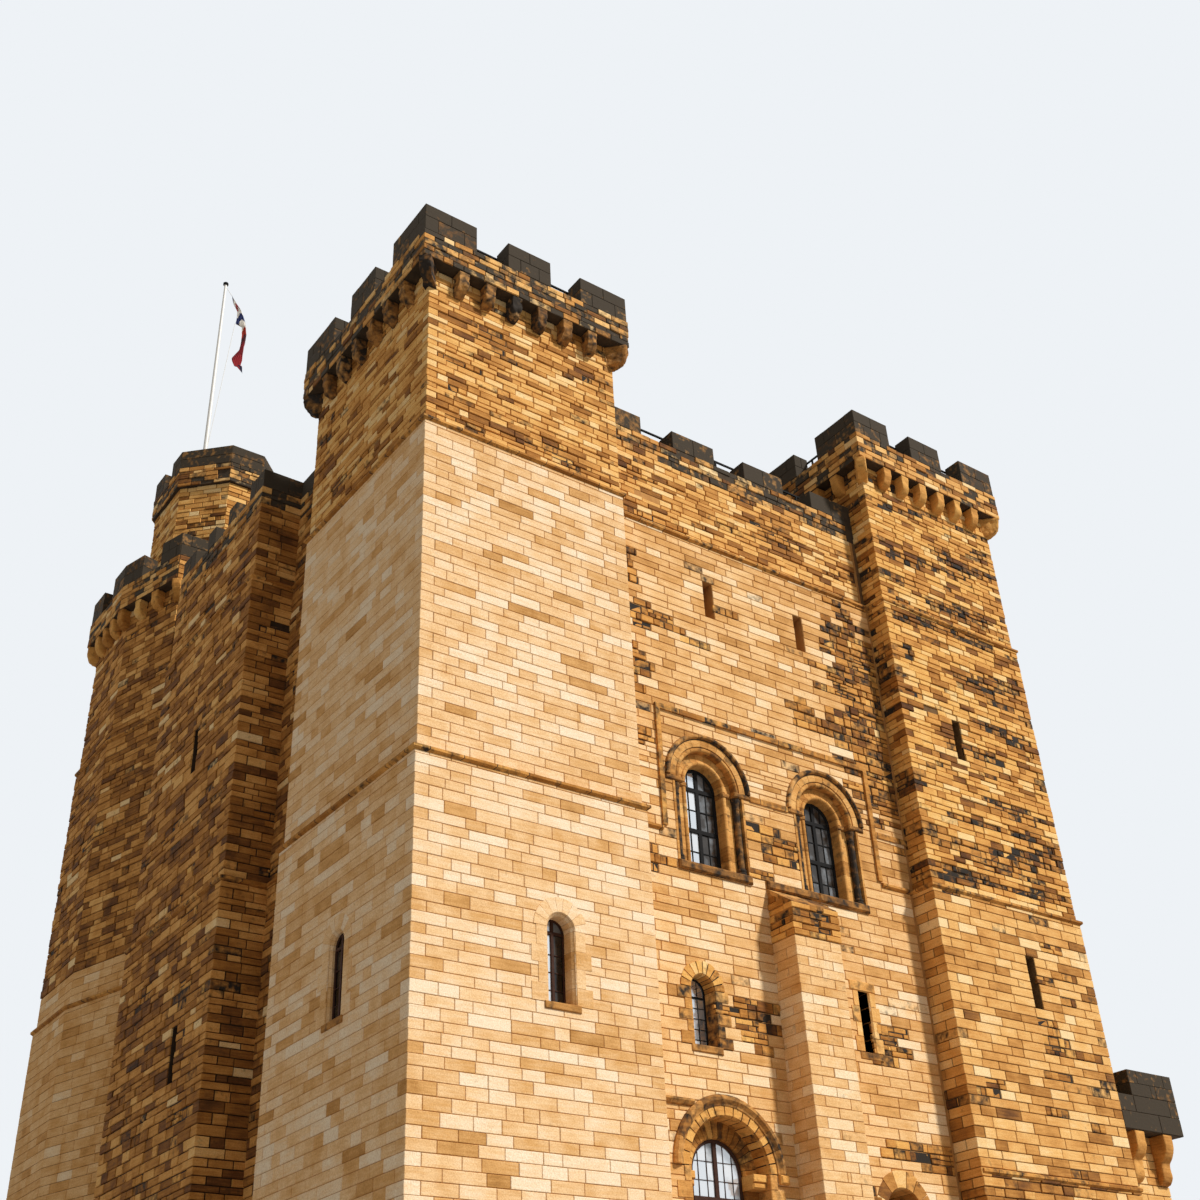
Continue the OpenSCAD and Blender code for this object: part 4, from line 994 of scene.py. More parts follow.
def add_loops(bm, place, loops, look):
    """Skins closed loops of (right, up, out) points one after the other into a solid."""
    origin, right, out = place
    layers = [bm.verts.layers.float[label] for label in ("tone", "soot", "age")]
    rings = []
    for loop in loops:
        ring = []
        for u, v, depth in loop:
            vert = bm.verts.new(origin + right * u + skyward * v + out * depth)
            for layer, value in zip(layers, look):
                vert[layer] = value
            ring.append(vert)
        rings.append(ring)
    for near, far in zip(rings, rings[1:]):
        for i in range(len(near)):
            j = (i + 1) % len(near)
            bm.faces.new((near[i], near[j], far[j], far[i]))
    bm.faces.new(list(reversed(rings[0])))
    bm.faces.new(rings[-1])


def add_block(bm, place, u0, u1, v0, v1, back, front, look, chamfer=0.008):
    """Adds one squared stone or bar, with its front arrises taken off."""
    def loop(inset, depth):
        return [(u0 + inset, v0 + inset, depth), (u1 - inset, v0 + inset, depth),
                (u1 - inset, v1 - inset, depth), (u0 + inset, v1 - inset, depth)]
    chamfer = min(chamfer, (u1 - u0) / 4, (v1 - v0) / 4, (front - back) / 3)
    add_loops(bm, place, [loop(0, back), loop(0, front - chamfer), loop(chamfer, front)], look)


def shares(count, rng, uneven):
    """Numbers from 0 to 1 that part a length into uneven stones."""
    weights = [rng.uniform(1 - uneven, 1 + uneven) for _ in range(count)]
    marks = [0.0]
    for weight in weights:
        marks.append(marks[-1] + weight / sum(weights))
    return marks


def add_ring(bm, place, spring, section, count, look, rng, joint=0.007, uneven=0.12, ragged=0.0,
             spread=(0.07, 0.12)):
    """An arch of wedge stones with one section, given as (radius, out) points."""
    marks = shares(count, rng, uneven)
    outermost = max(radius for radius, _ in section)
    middle = sum(radius for radius, _ in section) / len(section)
    for low, high in zip(marks, marks[1:]):
        a0 = math.pi * low + joint / 2 / middle
        a1 = math.pi * high - joint / 2 / middle
        steps = max(2, round((a1 - a0) / 0.14))
        reach = rng.uniform(-ragged, ragged)
        own = [(r + (reach if r > outermost - 0.01 else 0), d) for r, d in section]
        lift = rng.uniform(-0.003, 0.004)
        loops = []
        for k in range(steps + 1):
            a = a0 + (a1 - a0) * k / steps
            loops.append([(r * math.cos(a), spring + r * math.sin(a), d + (lift if d > 0 else 0))
                          for r, d in own])
        add_loops(bm, place, loops, varied(look, rng, spread))
    # Where the joints are open, a near-black ring behind the stones is painted shade of the deep
    # joints.
    if joint > 0.01:
        painted_shade_backing = [(r - (0.02 if r > outermost - 0.01 else -0.008), d - 0.016) for r, d in section]
        add_loops(bm, place, [[(r * math.cos(math.pi * k / 24),
                                spring + r * math.sin(math.pi * k / 24), d) for r, d in painted_shade_backing]
                              for k in range(25)], (0.08, 0.9, 0.5))


def varied(look, rng, spread):
    """A stone's own tone and soot about those of the masonry that it belongs to."""
    tone, soot, age = look
    return (min(1.0, max(0.0, rng.gauss(tone, spread[0]))),
            min(1.0, max(0.0, soot + rng.uniform(-spread[1], spread[1]))), age)


def add_jambs(bm, place, low, high, section, count, look, rng, joint=0.007, ragged=0.0,
              sides=(-1, 1), spread=(0.07, 0.12)):
    """Upright stones on both sides of an opening, with the section of its arch."""
    outermost = max(radius for radius, _ in section)
    for side in sides:
        marks = shares(count, rng, 0.12)
        for number, (a, b) in enumerate(zip(marks, marks[1:])):
            v0 = low + (high - low) * a + joint / 2
            v1 = low + (high - low) * b - joint / 2
            reach = ragged * (1 if (number + side) % 2 else -1) * rng.uniform(0.6, 1.2)
            own = [(r + (reach if r > outermost - 0.01 else 0), d) for r, d in section]
            add_loops(bm, place, [[(side * r, v, d) for r, d in own] for v in (v0, v1)],
                      varied(look, rng, spread))


def add_turned(bm, place, u, depth, profile, look, sides=14):
    """A shaft, base or capital turned about an upright axis, from (radius, height) points."""
    loops = []
    for radius, v in profile:
        loops.append([(u + radius * math.cos(2 * math.pi * k / sides), v,
                       radius * math.sin(2 * math.pi * k / sides) - depth) for k in range(sides)])
    add_loops(bm, place, loops, look)


def rounded(radius, out, size, first, last):
    """Points of a bead or roll in a section, from one bearing to another in degrees."""
    bearings = [math.radians(first + (last - first) * k / 8) for k in range(9)]
    return [(radius + size * math.cos(b), out + size * math.sin(b)) for b in bearings]


def carved_piece(bm, name, replaced=(), material=sandstone):
    """Turns carved stones into one plain piece."""
    bmesh.ops.recalc_face_normals(bm, faces=bm.faces)
    mesh = bpy.data.meshes.new(name)
    bm.to_mesh(mesh)
    bm.free()
    mesh.materials.append(material)
    piece = placed(name, mesh)
    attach(piece, "root")
    if replaced:
        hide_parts(*replaced)


def node_solids(name):
    """The box of each separate solid of a CAD node, as its low and high corners."""
    bm = bmesh.new()
    bm.from_mesh(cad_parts[name].data)
    bmesh.ops.remove_doubles(bm, verts=bm.verts, dist=1e-4)
    boxes = []
    for group in connected(bm):
        boxes.append((Vector([min(v.co[i] for v in group) for i in range(3)]),
                      Vector([max(v.co[i] for v in group) for i in range(3)])))
    bm.free()
    return boxes


def opening_of(low, high):
    """The arched opening that a pane of glass closes: place, half width, sill and spring."""
    middle = (low + high) / 2
    flat_y = high.y - low.y < high.x - low.x
    half = (high.x - low.x if flat_y else high.y - low.y) / 2
    facing = (0, -1) if flat_y else ((-1, 0) if middle.x < 0 else (1, 0))
    face = {(0, -1): low.y, (-1, 0): low.x, (1, 0): high.x}[facing]
    place = on_wall(middle.x, face, facing) if flat_y else on_wall(face, middle.y, facing)
    return {"place": place, "half": half, "sill": low.z, "spring": high.z - half,
            "facing": facing}


glazed = [opening_of(low, high) for low, high in node_solids("window_glass")]


def out_to_face(opening, depth):
    """The opening's place moved out from its glass to the face of the wall."""
    origin, right, out = opening["place"]
    return origin + out * depth, right, out


south_windows = [o for o in glazed if o["facing"] == (0, -1) and o["place"][0].x > -5]
hall_windows = [o for o in south_windows if o["sill"] > 12]
low_window = [o for o in south_windows if o["sill"] < 6 and o["place"][0].x < 0][0]
postern = [o for o in south_windows if o["sill"] < 6 and o["place"][0].x > 0][0]
small_window = [o for o in south_windows if 6 < o["sill"] < 12][0]
tower_windows = [o for o in glazed if o["place"][0].x < -5]
east_windows = [o for o in glazed if o["facing"] == (1, 0)]
reveal_depth = 0.70
tower_reveal_depth = 0.25
recess_depth = 0.33

rng = random.Random(71)
bm = carving()
golden = (0.56, 0.22, 0.7)
for opening in hall_windows:
    place = out_to_face(opening, reveal_depth)
    sill = opening["sill"]
    spring = opening["spring"]
    inner = ([(0.46, -reveal_depth), (0.70, -reveal_depth), (0.70, -0.13), (0.568, -0.13)]
             + rounded(0.512, -0.143, 0.050, 15, 180) + [(0.46, -0.18)])
    roll = ([(0.705, -recess_depth), (0.80, -recess_depth), (0.80, -0.062)]
            + rounded(0.757, -0.032, 0.052, -20, 200) + [(0.705, -0.10)])
    band = [(0.812, -recess_depth), (0.965, -recess_depth), (0.965, 0.026), (0.90, 0.030),
            (0.812, 0.020)]
    hood = [(0.968, -0.03), (1.07, -0.03), (1.07, 0.045), (1.058, 0.075), (1.030, 0.090),
            (1.000, 0.086), (0.976, 0.062), (0.968, 0.034)]
    add_ring(bm, place, spring, inner, 11, (0.52, 0.22, 0.8), rng)
    add_ring(bm, place, spring, roll, 9, (0.46, 0.34, 0.8), rng)
    add_ring(bm, place, spring, band, 13, golden, rng)
    # Near-black rings in the quirks on either side of the band are painted shade of these grooves.
    for radius, depth in ((0.806, -0.012), (0.966, 0.036)):
        quirk_painted_shade = [(radius - 0.010, depth - 0.03), (radius + 0.010, depth - 0.03),
                 (radius + 0.010, depth), (radius - 0.010, depth)]
        add_ring(bm, place, spring, quirk_painted_shade, 1, (0.08, 0.8, 0.5), rng)
    add_ring(bm, place, spring, hood, 9, (0.42, 0.47, 0.5), rng)
    add_jambs(bm, place, sill, spring - 0.11, inner, 5, (0.50, 0.24, 0.8), rng)
    edge = [(0.846, -recess_depth), (0.90, -recess_depth), (0.90, 0.026), (0.846, 0.026)]
    add_jambs(bm, place, sill, spring - 0.11, edge, 4, (0.5, 0.3, 0.8), rng)
    for side in (-1, 1):
        u = side * 0.768
        shaft = (0.28, 0.66, 0.0)
        add_turned(bm, place, u, 0.085, [
            (0.098, sill), (0.098, sill + 0.07), (0.082, sill + 0.085), (0.094, sill + 0.11),
            (0.092, sill + 0.135), (0.070, sill + 0.16), (0.068, spring - 0.36),
            (0.078, spring - 0.345), (0.078, spring - 0.33), (0.070, spring - 0.32),
            (0.076, spring - 0.25), (0.100, spring - 0.17), (0.104, spring - 0.11)], shaft)
        u0, u1 = sorted((side * 0.452, side * 0.905))
        add_block(bm, place, u0, u1, spring - 0.11, spring - 0.004, -reveal_depth, -0.09,
                  (0.36, 0.42, 0.6), 0.02)
        u0, u1 = sorted((side * 0.655, side * 1.075))
        add_block(bm, place, u0, u1, spring - 0.11, spring - 0.004, -recess_depth, 0.052,
                  (0.34, 0.45, 0.5), 0.022)
    eastern = opening["place"][0].x > 0
    right = 0.905
    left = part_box("south_buttress")[0].x - opening["place"][0].x if eastern else -right
    marks = shares(2 if eastern else 1, rng, 0.1)
    for a, b in zip(marks, marks[1:]):
        add_block(bm, place, left + (right - left) * a + 0.003, left + (right - left) * b - 0.003,
                  sill - 0.17, sill + 0.004, -0.04, 0.088,
                  varied((0.30, 0.52, 0.4), rng, (0.05, 0.06)), 0.03)
    add_loops(bm, place, [[(u, sill + 0.003, 0.02), (u, sill + 0.05, -reveal_depth),
                           (u, sill - 0.02, -reveal_depth)] for u in (-0.88, 0.88)],
              (0.30, 0.45, 0.4))
carved_piece(bm, "hall_window_dressings", ("hall_window_surrounds",))

# Low window
# The big window near the ground has two rings of narrow sandstone wedges, a worn hood with a
# stop on the right, and a short string course from the tower to the hood.
bm = carving()
place = out_to_face(low_window, reveal_depth)
sill = low_window["sill"]
spring = low_window["spring"]
order_depth = 0.32
outer_ring = [(0.872, -order_depth), (1.05, -order_depth), (1.075, 0.034), (0.90, 0.034),
              (0.872, -0.02)]
hood = [(1.055, -0.03), (1.245, -0.03), (1.245, 0.055), (1.205, 0.100), (1.150, 0.105),
        (1.085, 0.058), (1.055, 0.05)]
inner_ring = [(0.575, -reveal_depth), (0.885, -reveal_depth), (0.885, -order_depth + 0.02),
              (0.605, -order_depth + 0.02), (0.575, -order_depth - 0.01)]
add_ring(bm, place, spring, outer_ring, 17, (0.58, 0.20, 1.0), rng, joint=0.022, uneven=0.25,
         ragged=0.012, spread=(0.12, 0.22))
add_ring(bm, place, spring, hood, 9, (0.42, 0.46, 0.6), rng, joint=0.006, uneven=0.2,
         ragged=0.008, spread=(0.09, 0.16))
add_ring(bm, place, spring, inner_ring, 19, (0.44, 0.30, 1.0), rng, joint=0.012, uneven=0.2,
         spread=(0.10, 0.20))
add_jambs(bm, place, sill, spring - 0.24, inner_ring, 8, (0.44, 0.32, 1.0), rng, joint=0.012)
quoin = [(0.872, -order_depth), (1.10, -order_depth), (1.10, 0.030), (0.885, 0.030),
         (0.872, 0.018)]
add_jambs(bm, place, sill, spring, quoin, 8, (0.56, 0.20, 0.7), rng, joint=0.012, ragged=0.08)
for side, front in ((-1, -0.28), (1, -0.07)):
    u0, u1 = sorted((side * 0.56, side * 0.875))
    add_block(bm, place, u0, u1, spring - 0.24, spring - 0.13, -reveal_depth, front,
              (0.56, 0.16, 1.0), 0.03)
    add_block(bm, place, u0, u1, spring - 0.13, spring - 0.004, -reveal_depth, front + 0.025,
              (0.60, 0.12, 1.0), 0.012)
add_block(bm, place, 1.06, 1.27, spring - 0.16, spring - 0.004, -0.03, 0.115, (0.58, 0.14, 1.0),
          0.03)
add_block(bm, place, -0.92, 0.92, sill - 0.16, sill, -0.05, 0.06, (0.42, 0.35, 0.5), 0.02)
short_string = [(0, 0), (0.055, 0.028), (0.095, 0.085), (0.095, 0.12), (0, 0.15)]
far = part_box("sw_tower")[1].x - low_window["place"][0].x
near = -0.74
count = 2
for k in range(count):
    u0 = near + (far + 0.002 - near) * k / count
    u1 = near + (far + 0.002 - near) * (k + 1) / count + 0.005
    add_loops(bm, place, [[(u, spring + 0.96 + rise, d) for d, rise in short_string]
                          for u in (u0, u1)], varied((0.4, 0.45, 0.6), rng, (0.05, 0.1)))
carved_piece(bm, "low_window_dressings", ("low_window_hood",))

# Buttress head
# The sloped top of the buttress is made of worn weathering slabs of sandstone, bedded in two rows
# under the sill of the east hall window, and a little wider than the buttress.
bm = carving()
head_low, head_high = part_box("south_buttress")
wall_y = out_to_face(hall_windows[0], reveal_depth)[0].y
overhang = 0.02
head_left = head_low.x - overhang
head_wide = head_high.x - head_low.x + 2 * overhang
head_deep = wall_y - head_low.y
head_tall = 0.44
for row in range(2):
    marks = shares(2 + row, rng, 0.2)
    for a, b in zip(marks, marks[1:]):
        x0 = head_left + head_wide * a
        x1 = head_left + head_wide * b - 0.012
        y0 = head_low.y - 0.03 + head_deep * row / 2
        y1 = y0 + head_deep / 2 + 0.02
        z0 = head_high.z - head_tall * (1 - row / 2) - 0.02
        z1 = z0 + head_tall / 2
        lift = rng.uniform(0.03, 0.05)
        add_loops(bm, on_wall(0, 0, (0, -1)), [
            [(x, z0 - 0.05, -y0), (x, z0 + lift, -y0 - 0.004), (x, z1 + lift, -y1),
             (x, z1 - 0.05, -y1)] for x in (x0, x1)], varied((0.40, 0.45, 0.5), rng, (0.1, 0.2)))
carved_piece(bm, "buttress_head")

# Plain windows and doorways
# The smaller openings are rimmed with narrow wedge stones over upright quoins. Those of the
# south-west tower are renewed in pale stone, the others old and brown.
bm = carving()
for opening in tower_windows:
    place = out_to_face(opening, tower_reveal_depth)
    rim = [(0.236, -tower_reveal_depth), (0.545, -tower_reveal_depth), (0.545, 0.023),
           (0.292, 0.023), (0.236, -0.045)]
    add_ring(bm, place, opening["spring"], rim, 9, (0.76, 0.04, 0.0), rng, joint=0.006)
    add_jambs(bm, place, opening["sill"], opening["spring"], rim, 4, (0.70, 0.05, 0.0), rng,
              joint=0.006, ragged=0.07)
    add_block(bm, place, -0.36, 0.36, opening["sill"] - 0.11, opening["sill"] + 0.012,
              -tower_reveal_depth, 0.045, (0.38, 0.3, 0.3), 0.012)
place = out_to_face(small_window, reveal_depth)
rim = [(0.262, -reveal_depth), (0.515, -reveal_depth), (0.515, 0.034), (0.285, 0.034),
       (0.262, 0.0)]
add_ring(bm, place, small_window["spring"], rim, 10, (0.60, 0.16, 1.0), rng, joint=0.020,
         uneven=0.15, ragged=0.02, spread=(0.12, 0.2))
add_jambs(bm, place, small_window["sill"], small_window["spring"], rim, 5, (0.42, 0.34, 0.8),
          rng, joint=0.012, ragged=0.09, spread=(0.1, 0.2))
add_block(bm, place, -0.36, 0.36, small_window["sill"] - 0.12, small_window["sill"] + 0.01, -0.3,
          0.045, (0.38, 0.4, 0.6), 0.015)
place = out_to_face(postern, reveal_depth)
rim = [(0.44, -reveal_depth), (0.74, -reveal_depth), (0.74, 0.034), (0.455, 0.034),
       (0.44, 0.01)]
add_ring(bm, place, postern["spring"], rim, 7, (0.66, 0.16, 0.8), rng, joint=0.012,
         uneven=0.2, ragged=0.02, spread=(0.14, 0.14))
add_jambs(bm, place, postern["sill"], postern["spring"], rim, 6, (0.5, 0.25, 0.8), rng,
          joint=0.012, ragged=0.08)
for opening in east_windows:
    place = out_to_face(opening, reveal_depth)
    rim = [(0.46, -reveal_depth), (0.84, -reveal_depth), (0.84, 0.034), (0.58, 0.034),
           (0.46, -0.09)]
    add_ring(bm, place, opening["spring"], rim, 11, (0.55, 0.22, 0.9), rng)
    add_jambs(bm, place, opening["sill"], opening["spring"], rim, 7, (0.52, 0.25, 0.9), rng,
              ragged=0.06)
    add_block(bm, place, -0.84, 0.84, opening["sill"] - 0.15, opening["sill"] + 0.01,
              -reveal_depth, 0.06, (0.4, 0.4, 0.6), 0.02)
carved_piece(bm, "opening_rims")

# Slot east of the buttress
# A narrow slit that lets light into the wall. It has a worn frame of upright sandstone blocks
# between a lintel and a sill, all bonded into the courses.
bm = carving()
slot_x = 1.88
slot_low = 9.33
slot_high = 10.52
place = on_wall(slot_x, wall_y, (0, -1))
frame_section = [(0.13, -0.35), (0.33, -0.35), (0.33, 0.032), (0.16, 0.032), (0.13, 0.0)]
add_jambs(bm, place, slot_low, slot_high, frame_section, 4, (0.62, 0.25, 0.8), rng,
          joint=0.014, ragged=0.05, spread=(0.12, 0.2))
add_block(bm, place, -0.36, 0.34, slot_high, slot_high + 0.2, -0.35, 0.036, (0.6, 0.3, 0.8), 0.02)
add_block(bm, place, -0.3, 0.32, slot_low - 0.15, slot_low, -0.35, 0.034, (0.4, 0.45, 0.8), 0.02)
carved_piece(bm, "slot_frame")


# Glazing
# The windows are leaded lights: small panes in lead bars, held by dark frames with mullions and
# transoms. Each pane lies a little askew in its leads; its colour is a painted reflection of the
# pale sky in some panes and the painted shade of the unlit room behind in others.
def arch_top(opening, half, u):
    """Height of the arch over a point across the opening."""
    return opening["spring"] + math.sqrt(max(0.0, half * half - u * u))


def half_at(opening, half, v):
    """Half width of the arched opening at a height."""
    return half if v < opening["spring"] else math.sqrt(
        max(0.0, half * half - (v - opening["spring"]) ** 2))


def glaze(bars, opening, half, columns, levels, border, bar, mullions, transoms, heavy, tones,
          forward=0.0):
    """Fills an arched opening with a border, heavy and light bars and separate panes, which
    have one painted tone left of the middle and one right of it: pale for a painted reflection
    of the sky, dark for the painted shade of the unlit room behind."""
    origin, right, out = opening["place"]
    place = (origin + out * forward, right, out)
    sill = opening["sill"]
    spring = opening["spring"]
    rim = [(half - border, -0.045), (half + 0.012, -0.045), (half + 0.012, 0.012),
           (half - border + 0.01, 0.012), (half - border, 0.002)]
    loops = [[(r, sill, d) for r, d in rim]]
    for k in range(17):
        a = math.pi * k / 16
        loops.append([(r * math.cos(a), spring + r * math.sin(a), d) for r, d in rim])
    loops.append([(-r, sill, d) for r, d in rim])
    add_loops(bars, place, loops, dark)
    add_block(bars, place, -half, half, sill, sill + border, -0.045, 0.012, dark, 0.006)
    inner = half - border / 2
    for u in columns:
        size = heavy if u in mullions else bar
        add_block(bars, place, u - size / 2, u + size / 2, sill, arch_top(opening, inner, u),
                  -0.030, 0.010 if u in mullions else -0.004, dark, 0.004)
    for v in levels:
        size = heavy if v in transoms else bar
        reach = half_at(opening, inner, v)
        add_block(bars, place, -reach, reach, v - size / 2, v + size / 2, -0.030,
                  0.012 if v in transoms else -0.003, dark, 0.004)
    sides = [-inner, *columns, inner]
    beds = [sill, *levels, spring + inner]
    for u0, u1 in zip(sides, sides[1:]):
        for v0, v1 in zip(beds, beds[1:]):
            reach = half_at(opening, inner, v0)
            a, b = max(u0, -reach), min(u1, reach)
            if b - a < 0.02:
                continue
            top = []
            for k in range(7):
                u = a + (b - a) * k / 6
                top.append((u, max(v0 + 0.002, min(v1, arch_top(opening, inner, u)))))
            if max(v for _, v in top) < v0 + 0.02:
                continue
            outline = [(a, v0), (b, v0), *reversed(top)]
            middle_u, middle_v = (a + b) / 2, (v0 + max(v for _, v in top)) / 2
            tilt_u, tilt_v = rng.gauss(0, 0.012), rng.gauss(0, 0.012)
            # Pale tones are a painted reflection of the sky, dark ones the painted shade of the
            # room behind.
            tone = tones[0] if u0 + (u1 - u0) / 2 < 0 else tones[1]
            own = varied((tone, 0, 0), rng, (0.08, 0))
            loops = [[(u, v, depth - 0.018 + (u - middle_u) * tilt_u + (v - middle_v) * tilt_v)
                      for u, v in outline] for depth in (-0.006, 0.0)]
            add_loops(panes, place, loops, own)


bars = carving()
rusty_bars = carving()
panes = carving()
dark = (0.5, 0.0, 0.0)
for opening in hall_windows:
    spring = opening["spring"]
    sill = opening["sill"]
    western = opening["place"][0].x < 0
    middle = (sill + spring) / 2
    levels = [sill + (middle - sill) * 0.5, middle, (middle + spring) / 2, spring]
    glaze(bars, opening, 0.462, [-0.22, 0.0, 0.22], levels, border=0.06, bar=0.024,
          mullions=[0.0], transoms=[middle, spring], heavy=0.085,
          tones=(0.95, 0.30) if western else (0.30, 0.30), forward=0.36)
glaze(rusty_bars, low_window, 0.578, [-0.38, -0.19, 0.0, 0.19, 0.38],
      [low_window["sill"] + 0.31 * k for k in range(1, 8)], border=0.06, bar=0.010,
      mullions=[0.0], transoms=[low_window["sill"] + 0.31 * 5], heavy=0.085,
      tones=(0.84, 0.84), forward=0.32)
glaze(bars, small_window, 0.266, [-0.09, 0.09],
      [small_window["sill"] + 0.19 * k for k in range(1, 6)], border=0.024, bar=0.010,
      mullions=[], transoms=[small_window["sill"] + 0.19 * 5], heavy=0.030,
      tones=(1.0, 1.0), forward=0.44)
for opening in tower_windows:
    southern = opening["facing"] == (0, -1)
    glaze(rusty_bars, opening, 0.238, [0.0],
          [opening["sill"] + 0.3 * k for k in range(1, 4)] + [opening["spring"]],
          border=0.03, bar=0.016, mullions=[0.0], transoms=[opening["spring"]], heavy=0.055,
          tones=(1.0, 0.2) if southern else (0.0, 0.0), forward=0.0 if southern else 0.15)
glaze(bars, postern, 0.442, [-0.15, 0.15], [postern["sill"] + 0.24 * k for k in range(1, 7)],
      border=0.04, bar=0.012, mullions=[], transoms=[], heavy=0.03, tones=(0.03, 0.03))
for opening in east_windows:
    spring = opening["spring"]
    middle = (opening["sill"] + spring) / 2
    glaze(bars, opening, 0.462, [-0.22, 0.0, 0.22], [middle, spring], border=0.05, bar=0.016,
          mullions=[0.0], transoms=[middle, spring], heavy=0.048, tones=(0.4, 0.4))


def glass_with_painted_reflection():
    """Opaque old window glass: painted shade of dark rooms behind some panes, and a painted
    reflection of the pale sky in others.
    """
    material, tree, shader = new_material("leaded_glass")
    cloudy = noise_over(tree, 5.0, 4)
    own = own_value(tree, "tone")
    amount = tree.nodes.new("ShaderNodeMath")
    amount.operation = "MULTIPLY_ADD"
    tree.links.new(cloudy, amount.inputs[0])
    amount.inputs[1].default_value = 0.5
    tree.links.new(own, amount.inputs[2])
    # The ramp runs from the painted shade of an unlit room to a painted reflection of the sky.
    painted_reflection_and_shade = colour_at(tree, amount.outputs[0], [(0.30, "120e0c"), (0.55, "3a3530"),
                                                (0.80, "8b9298"), (1.0, "dde3e8")])
    tree.links.new(painted_reflection_and_shade, shader.inputs["Base Color"])
    add_relief(tree, shader, cloudy, 0.15, 0.01)
    mirror = tree.nodes.new("ShaderNodeMapRange")
    mirror.inputs["From Min"].default_value = 0.6
    mirror.inputs["To Max"].default_value = 0.75
    tree.links.new(own, mirror.inputs["Value"])
    tree.links.new(mirror.outputs["Result"], shader.inputs["Metallic"])
    shader.inputs["Roughness"].default_value = 0.12
    return material


# Flag
# A plain banded bunting flag, 3.0 m by 1.5 m, tied by one corner to the halyard. In the still air
# it hangs along its diagonal, gathered into long folds.
flag_low, flag_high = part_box("flag")
flag_face = max(upright_faces(["flag"], ()), key=lambda face: len(face["triangles"]))
flag_long, flag_wide = 3.0, 1.5
diagonal = math.hypot(flag_long, flag_wide)
corner_out = flag_long * flag_wide / diagonal
layers_across = 4
ripples = 5
columns = layers_across * ripples * 6
rows = 96
vertices = []
bands = []
for i in range(rows + 1):
    p = min(diagonal - 0.004, max(0.004, diagonal * i / rows))
    z = flag_high.z - 0.005 - (flag_high.z - flag_low.z - 0.01) * i / rows
    right_edge = corner_out * min(p / (flag_wide ** 2 / diagonal),
                                  (diagonal - p) / (diagonal - flag_wide ** 2 / diagonal))
    left_edge = corner_out * min(p / (flag_long ** 2 / diagonal),
                                 (diagonal - p) / (diagonal - flag_long ** 2 / diagonal))
    layer_length = (right_edge + left_edge) / layers_across
    spans = spans_at(flag_face, z)
    low, high = (spans[0][0], spans[-1][1]) if spans else (0, 0.01)
    chord = min(max(0.012, high - low - 0.01), layer_length * 0.97)
    start = (low + high - chord) / 2 + 0.012 * math.sin(p * 5)
    steepness = math.sqrt(max(0.0, (layer_length / chord) ** 2 - 1))
    wave = chord / ripples
    depth = steepness * wave / 4
    for j in range(columns + 1):
        s = layers_across * j / columns
        layer = min(layers_across - 1, int(s))
        u = s - layer
        if layer % 2:
            u = 1 - u
        phase = (u * ripples + 0.35 * math.sin(p * 3)) % 1.0
        zigzag = 4 * abs(phase - 0.5) - 1
        t = depth * zigzag + (layer - 1.5) * 0.009 + 0.006 * math.sin(p * 4 + u * 3)
        point = (flag_face["normal"] * (flag_face["away"] - 0.035 + t)
                 + flag_face["along"] * (start + chord * u))
        vertices.append((point.x, point.y, z))
        bands.append(i / rows + 0.035 * math.sin(u * 5 + layer))
flag_faces = []
for i in range(rows):
    for j in range(columns):
        k = i * (columns + 1) + j
        flag_faces.append((k, k + 1, k + columns + 2, k + columns + 1))
flag_mesh = bpy.data.meshes.new("hanging_flag")
flag_mesh.from_pydata(vertices, [], flag_faces)
flag_mesh.attributes.new("band", "FLOAT", "POINT").data.foreach_set("value", bands)
flag_mesh.polygons.foreach_set("use_smooth", [True] * len(flag_faces))
hanging_flag = placed("hanging_flag", flag_mesh)
bunting, tree, shader = new_material("bunting")
# The bands are the flag's dyed colours; the lower part is one red cloth whose darker reds at 0.54
# and 0.64 are painted shade.
dye_and_painted_shade = colour_at(tree, own_value(tree, "band"), [
    (0.0, "1b2450"), (0.07, "e9e4dc"), (0.14, "b5222a"), (0.19, "ece7df"), (0.27, "1c2a5e"),
    (0.36, "efe9df"), (0.45, "c23a22"), (0.54, "55141c"), (0.64, "8a1620"), (0.80, "a31c26"),
    (0.93, "1e2140")], "CONSTANT")
tree.links.new(dye_and_painted_shade, shader.inputs["Base Color"])
add_relief(tree, shader, noise_over(tree, 160.0, 2), 0.3, 0.004)
shader.inputs["Roughness"].default_value = 0.85
flag_mesh.materials.append(bunting)
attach(hanging_flag, "root")
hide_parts("flag")

# Hoops on the west pier
# Two hoops of round iron bar on short posts stand behind the pier's merlons, leaded into its top.
# The same black iron makes the small ball screwed on the head of the flagpole.
bm = carving()
pier_deck = 22.0
pier_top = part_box("west_parapet")[1].z
for hoop_y in (-1.75, -1.15):
    centre = Vector((-8.2, hoop_y, pier_top + 0.22))
    rings = []
    for k in range(24):
        a = 2 * math.pi * k / 24
        ring = []
        for m in range(6):
            b = 2 * math.pi * m / 6
            r = 0.20 + 0.022 * math.cos(b)
            ring.append((centre.x, centre.y + r * math.cos(a), centre.z + r * math.sin(a),
                         0.022 * math.sin(b)))
        rings.append([bm.verts.new((x + d, y, z)) for x, y, z, d in ring])
    for near, far in zip(rings, rings[1:] + rings[:1]):
        for i in range(6):
            j = (i + 1) % 6
            bm.faces.new((near[i], near[j], far[j], far[i]))
    add_turned(bm, on_wall(centre.x, centre.y, (0, -1)), 0, 0,
               [(0.018, pier_deck), (0.018, pier_top + 0.03)], (0, 0, 0), 8)
pole_low, pole_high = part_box("flagpole")
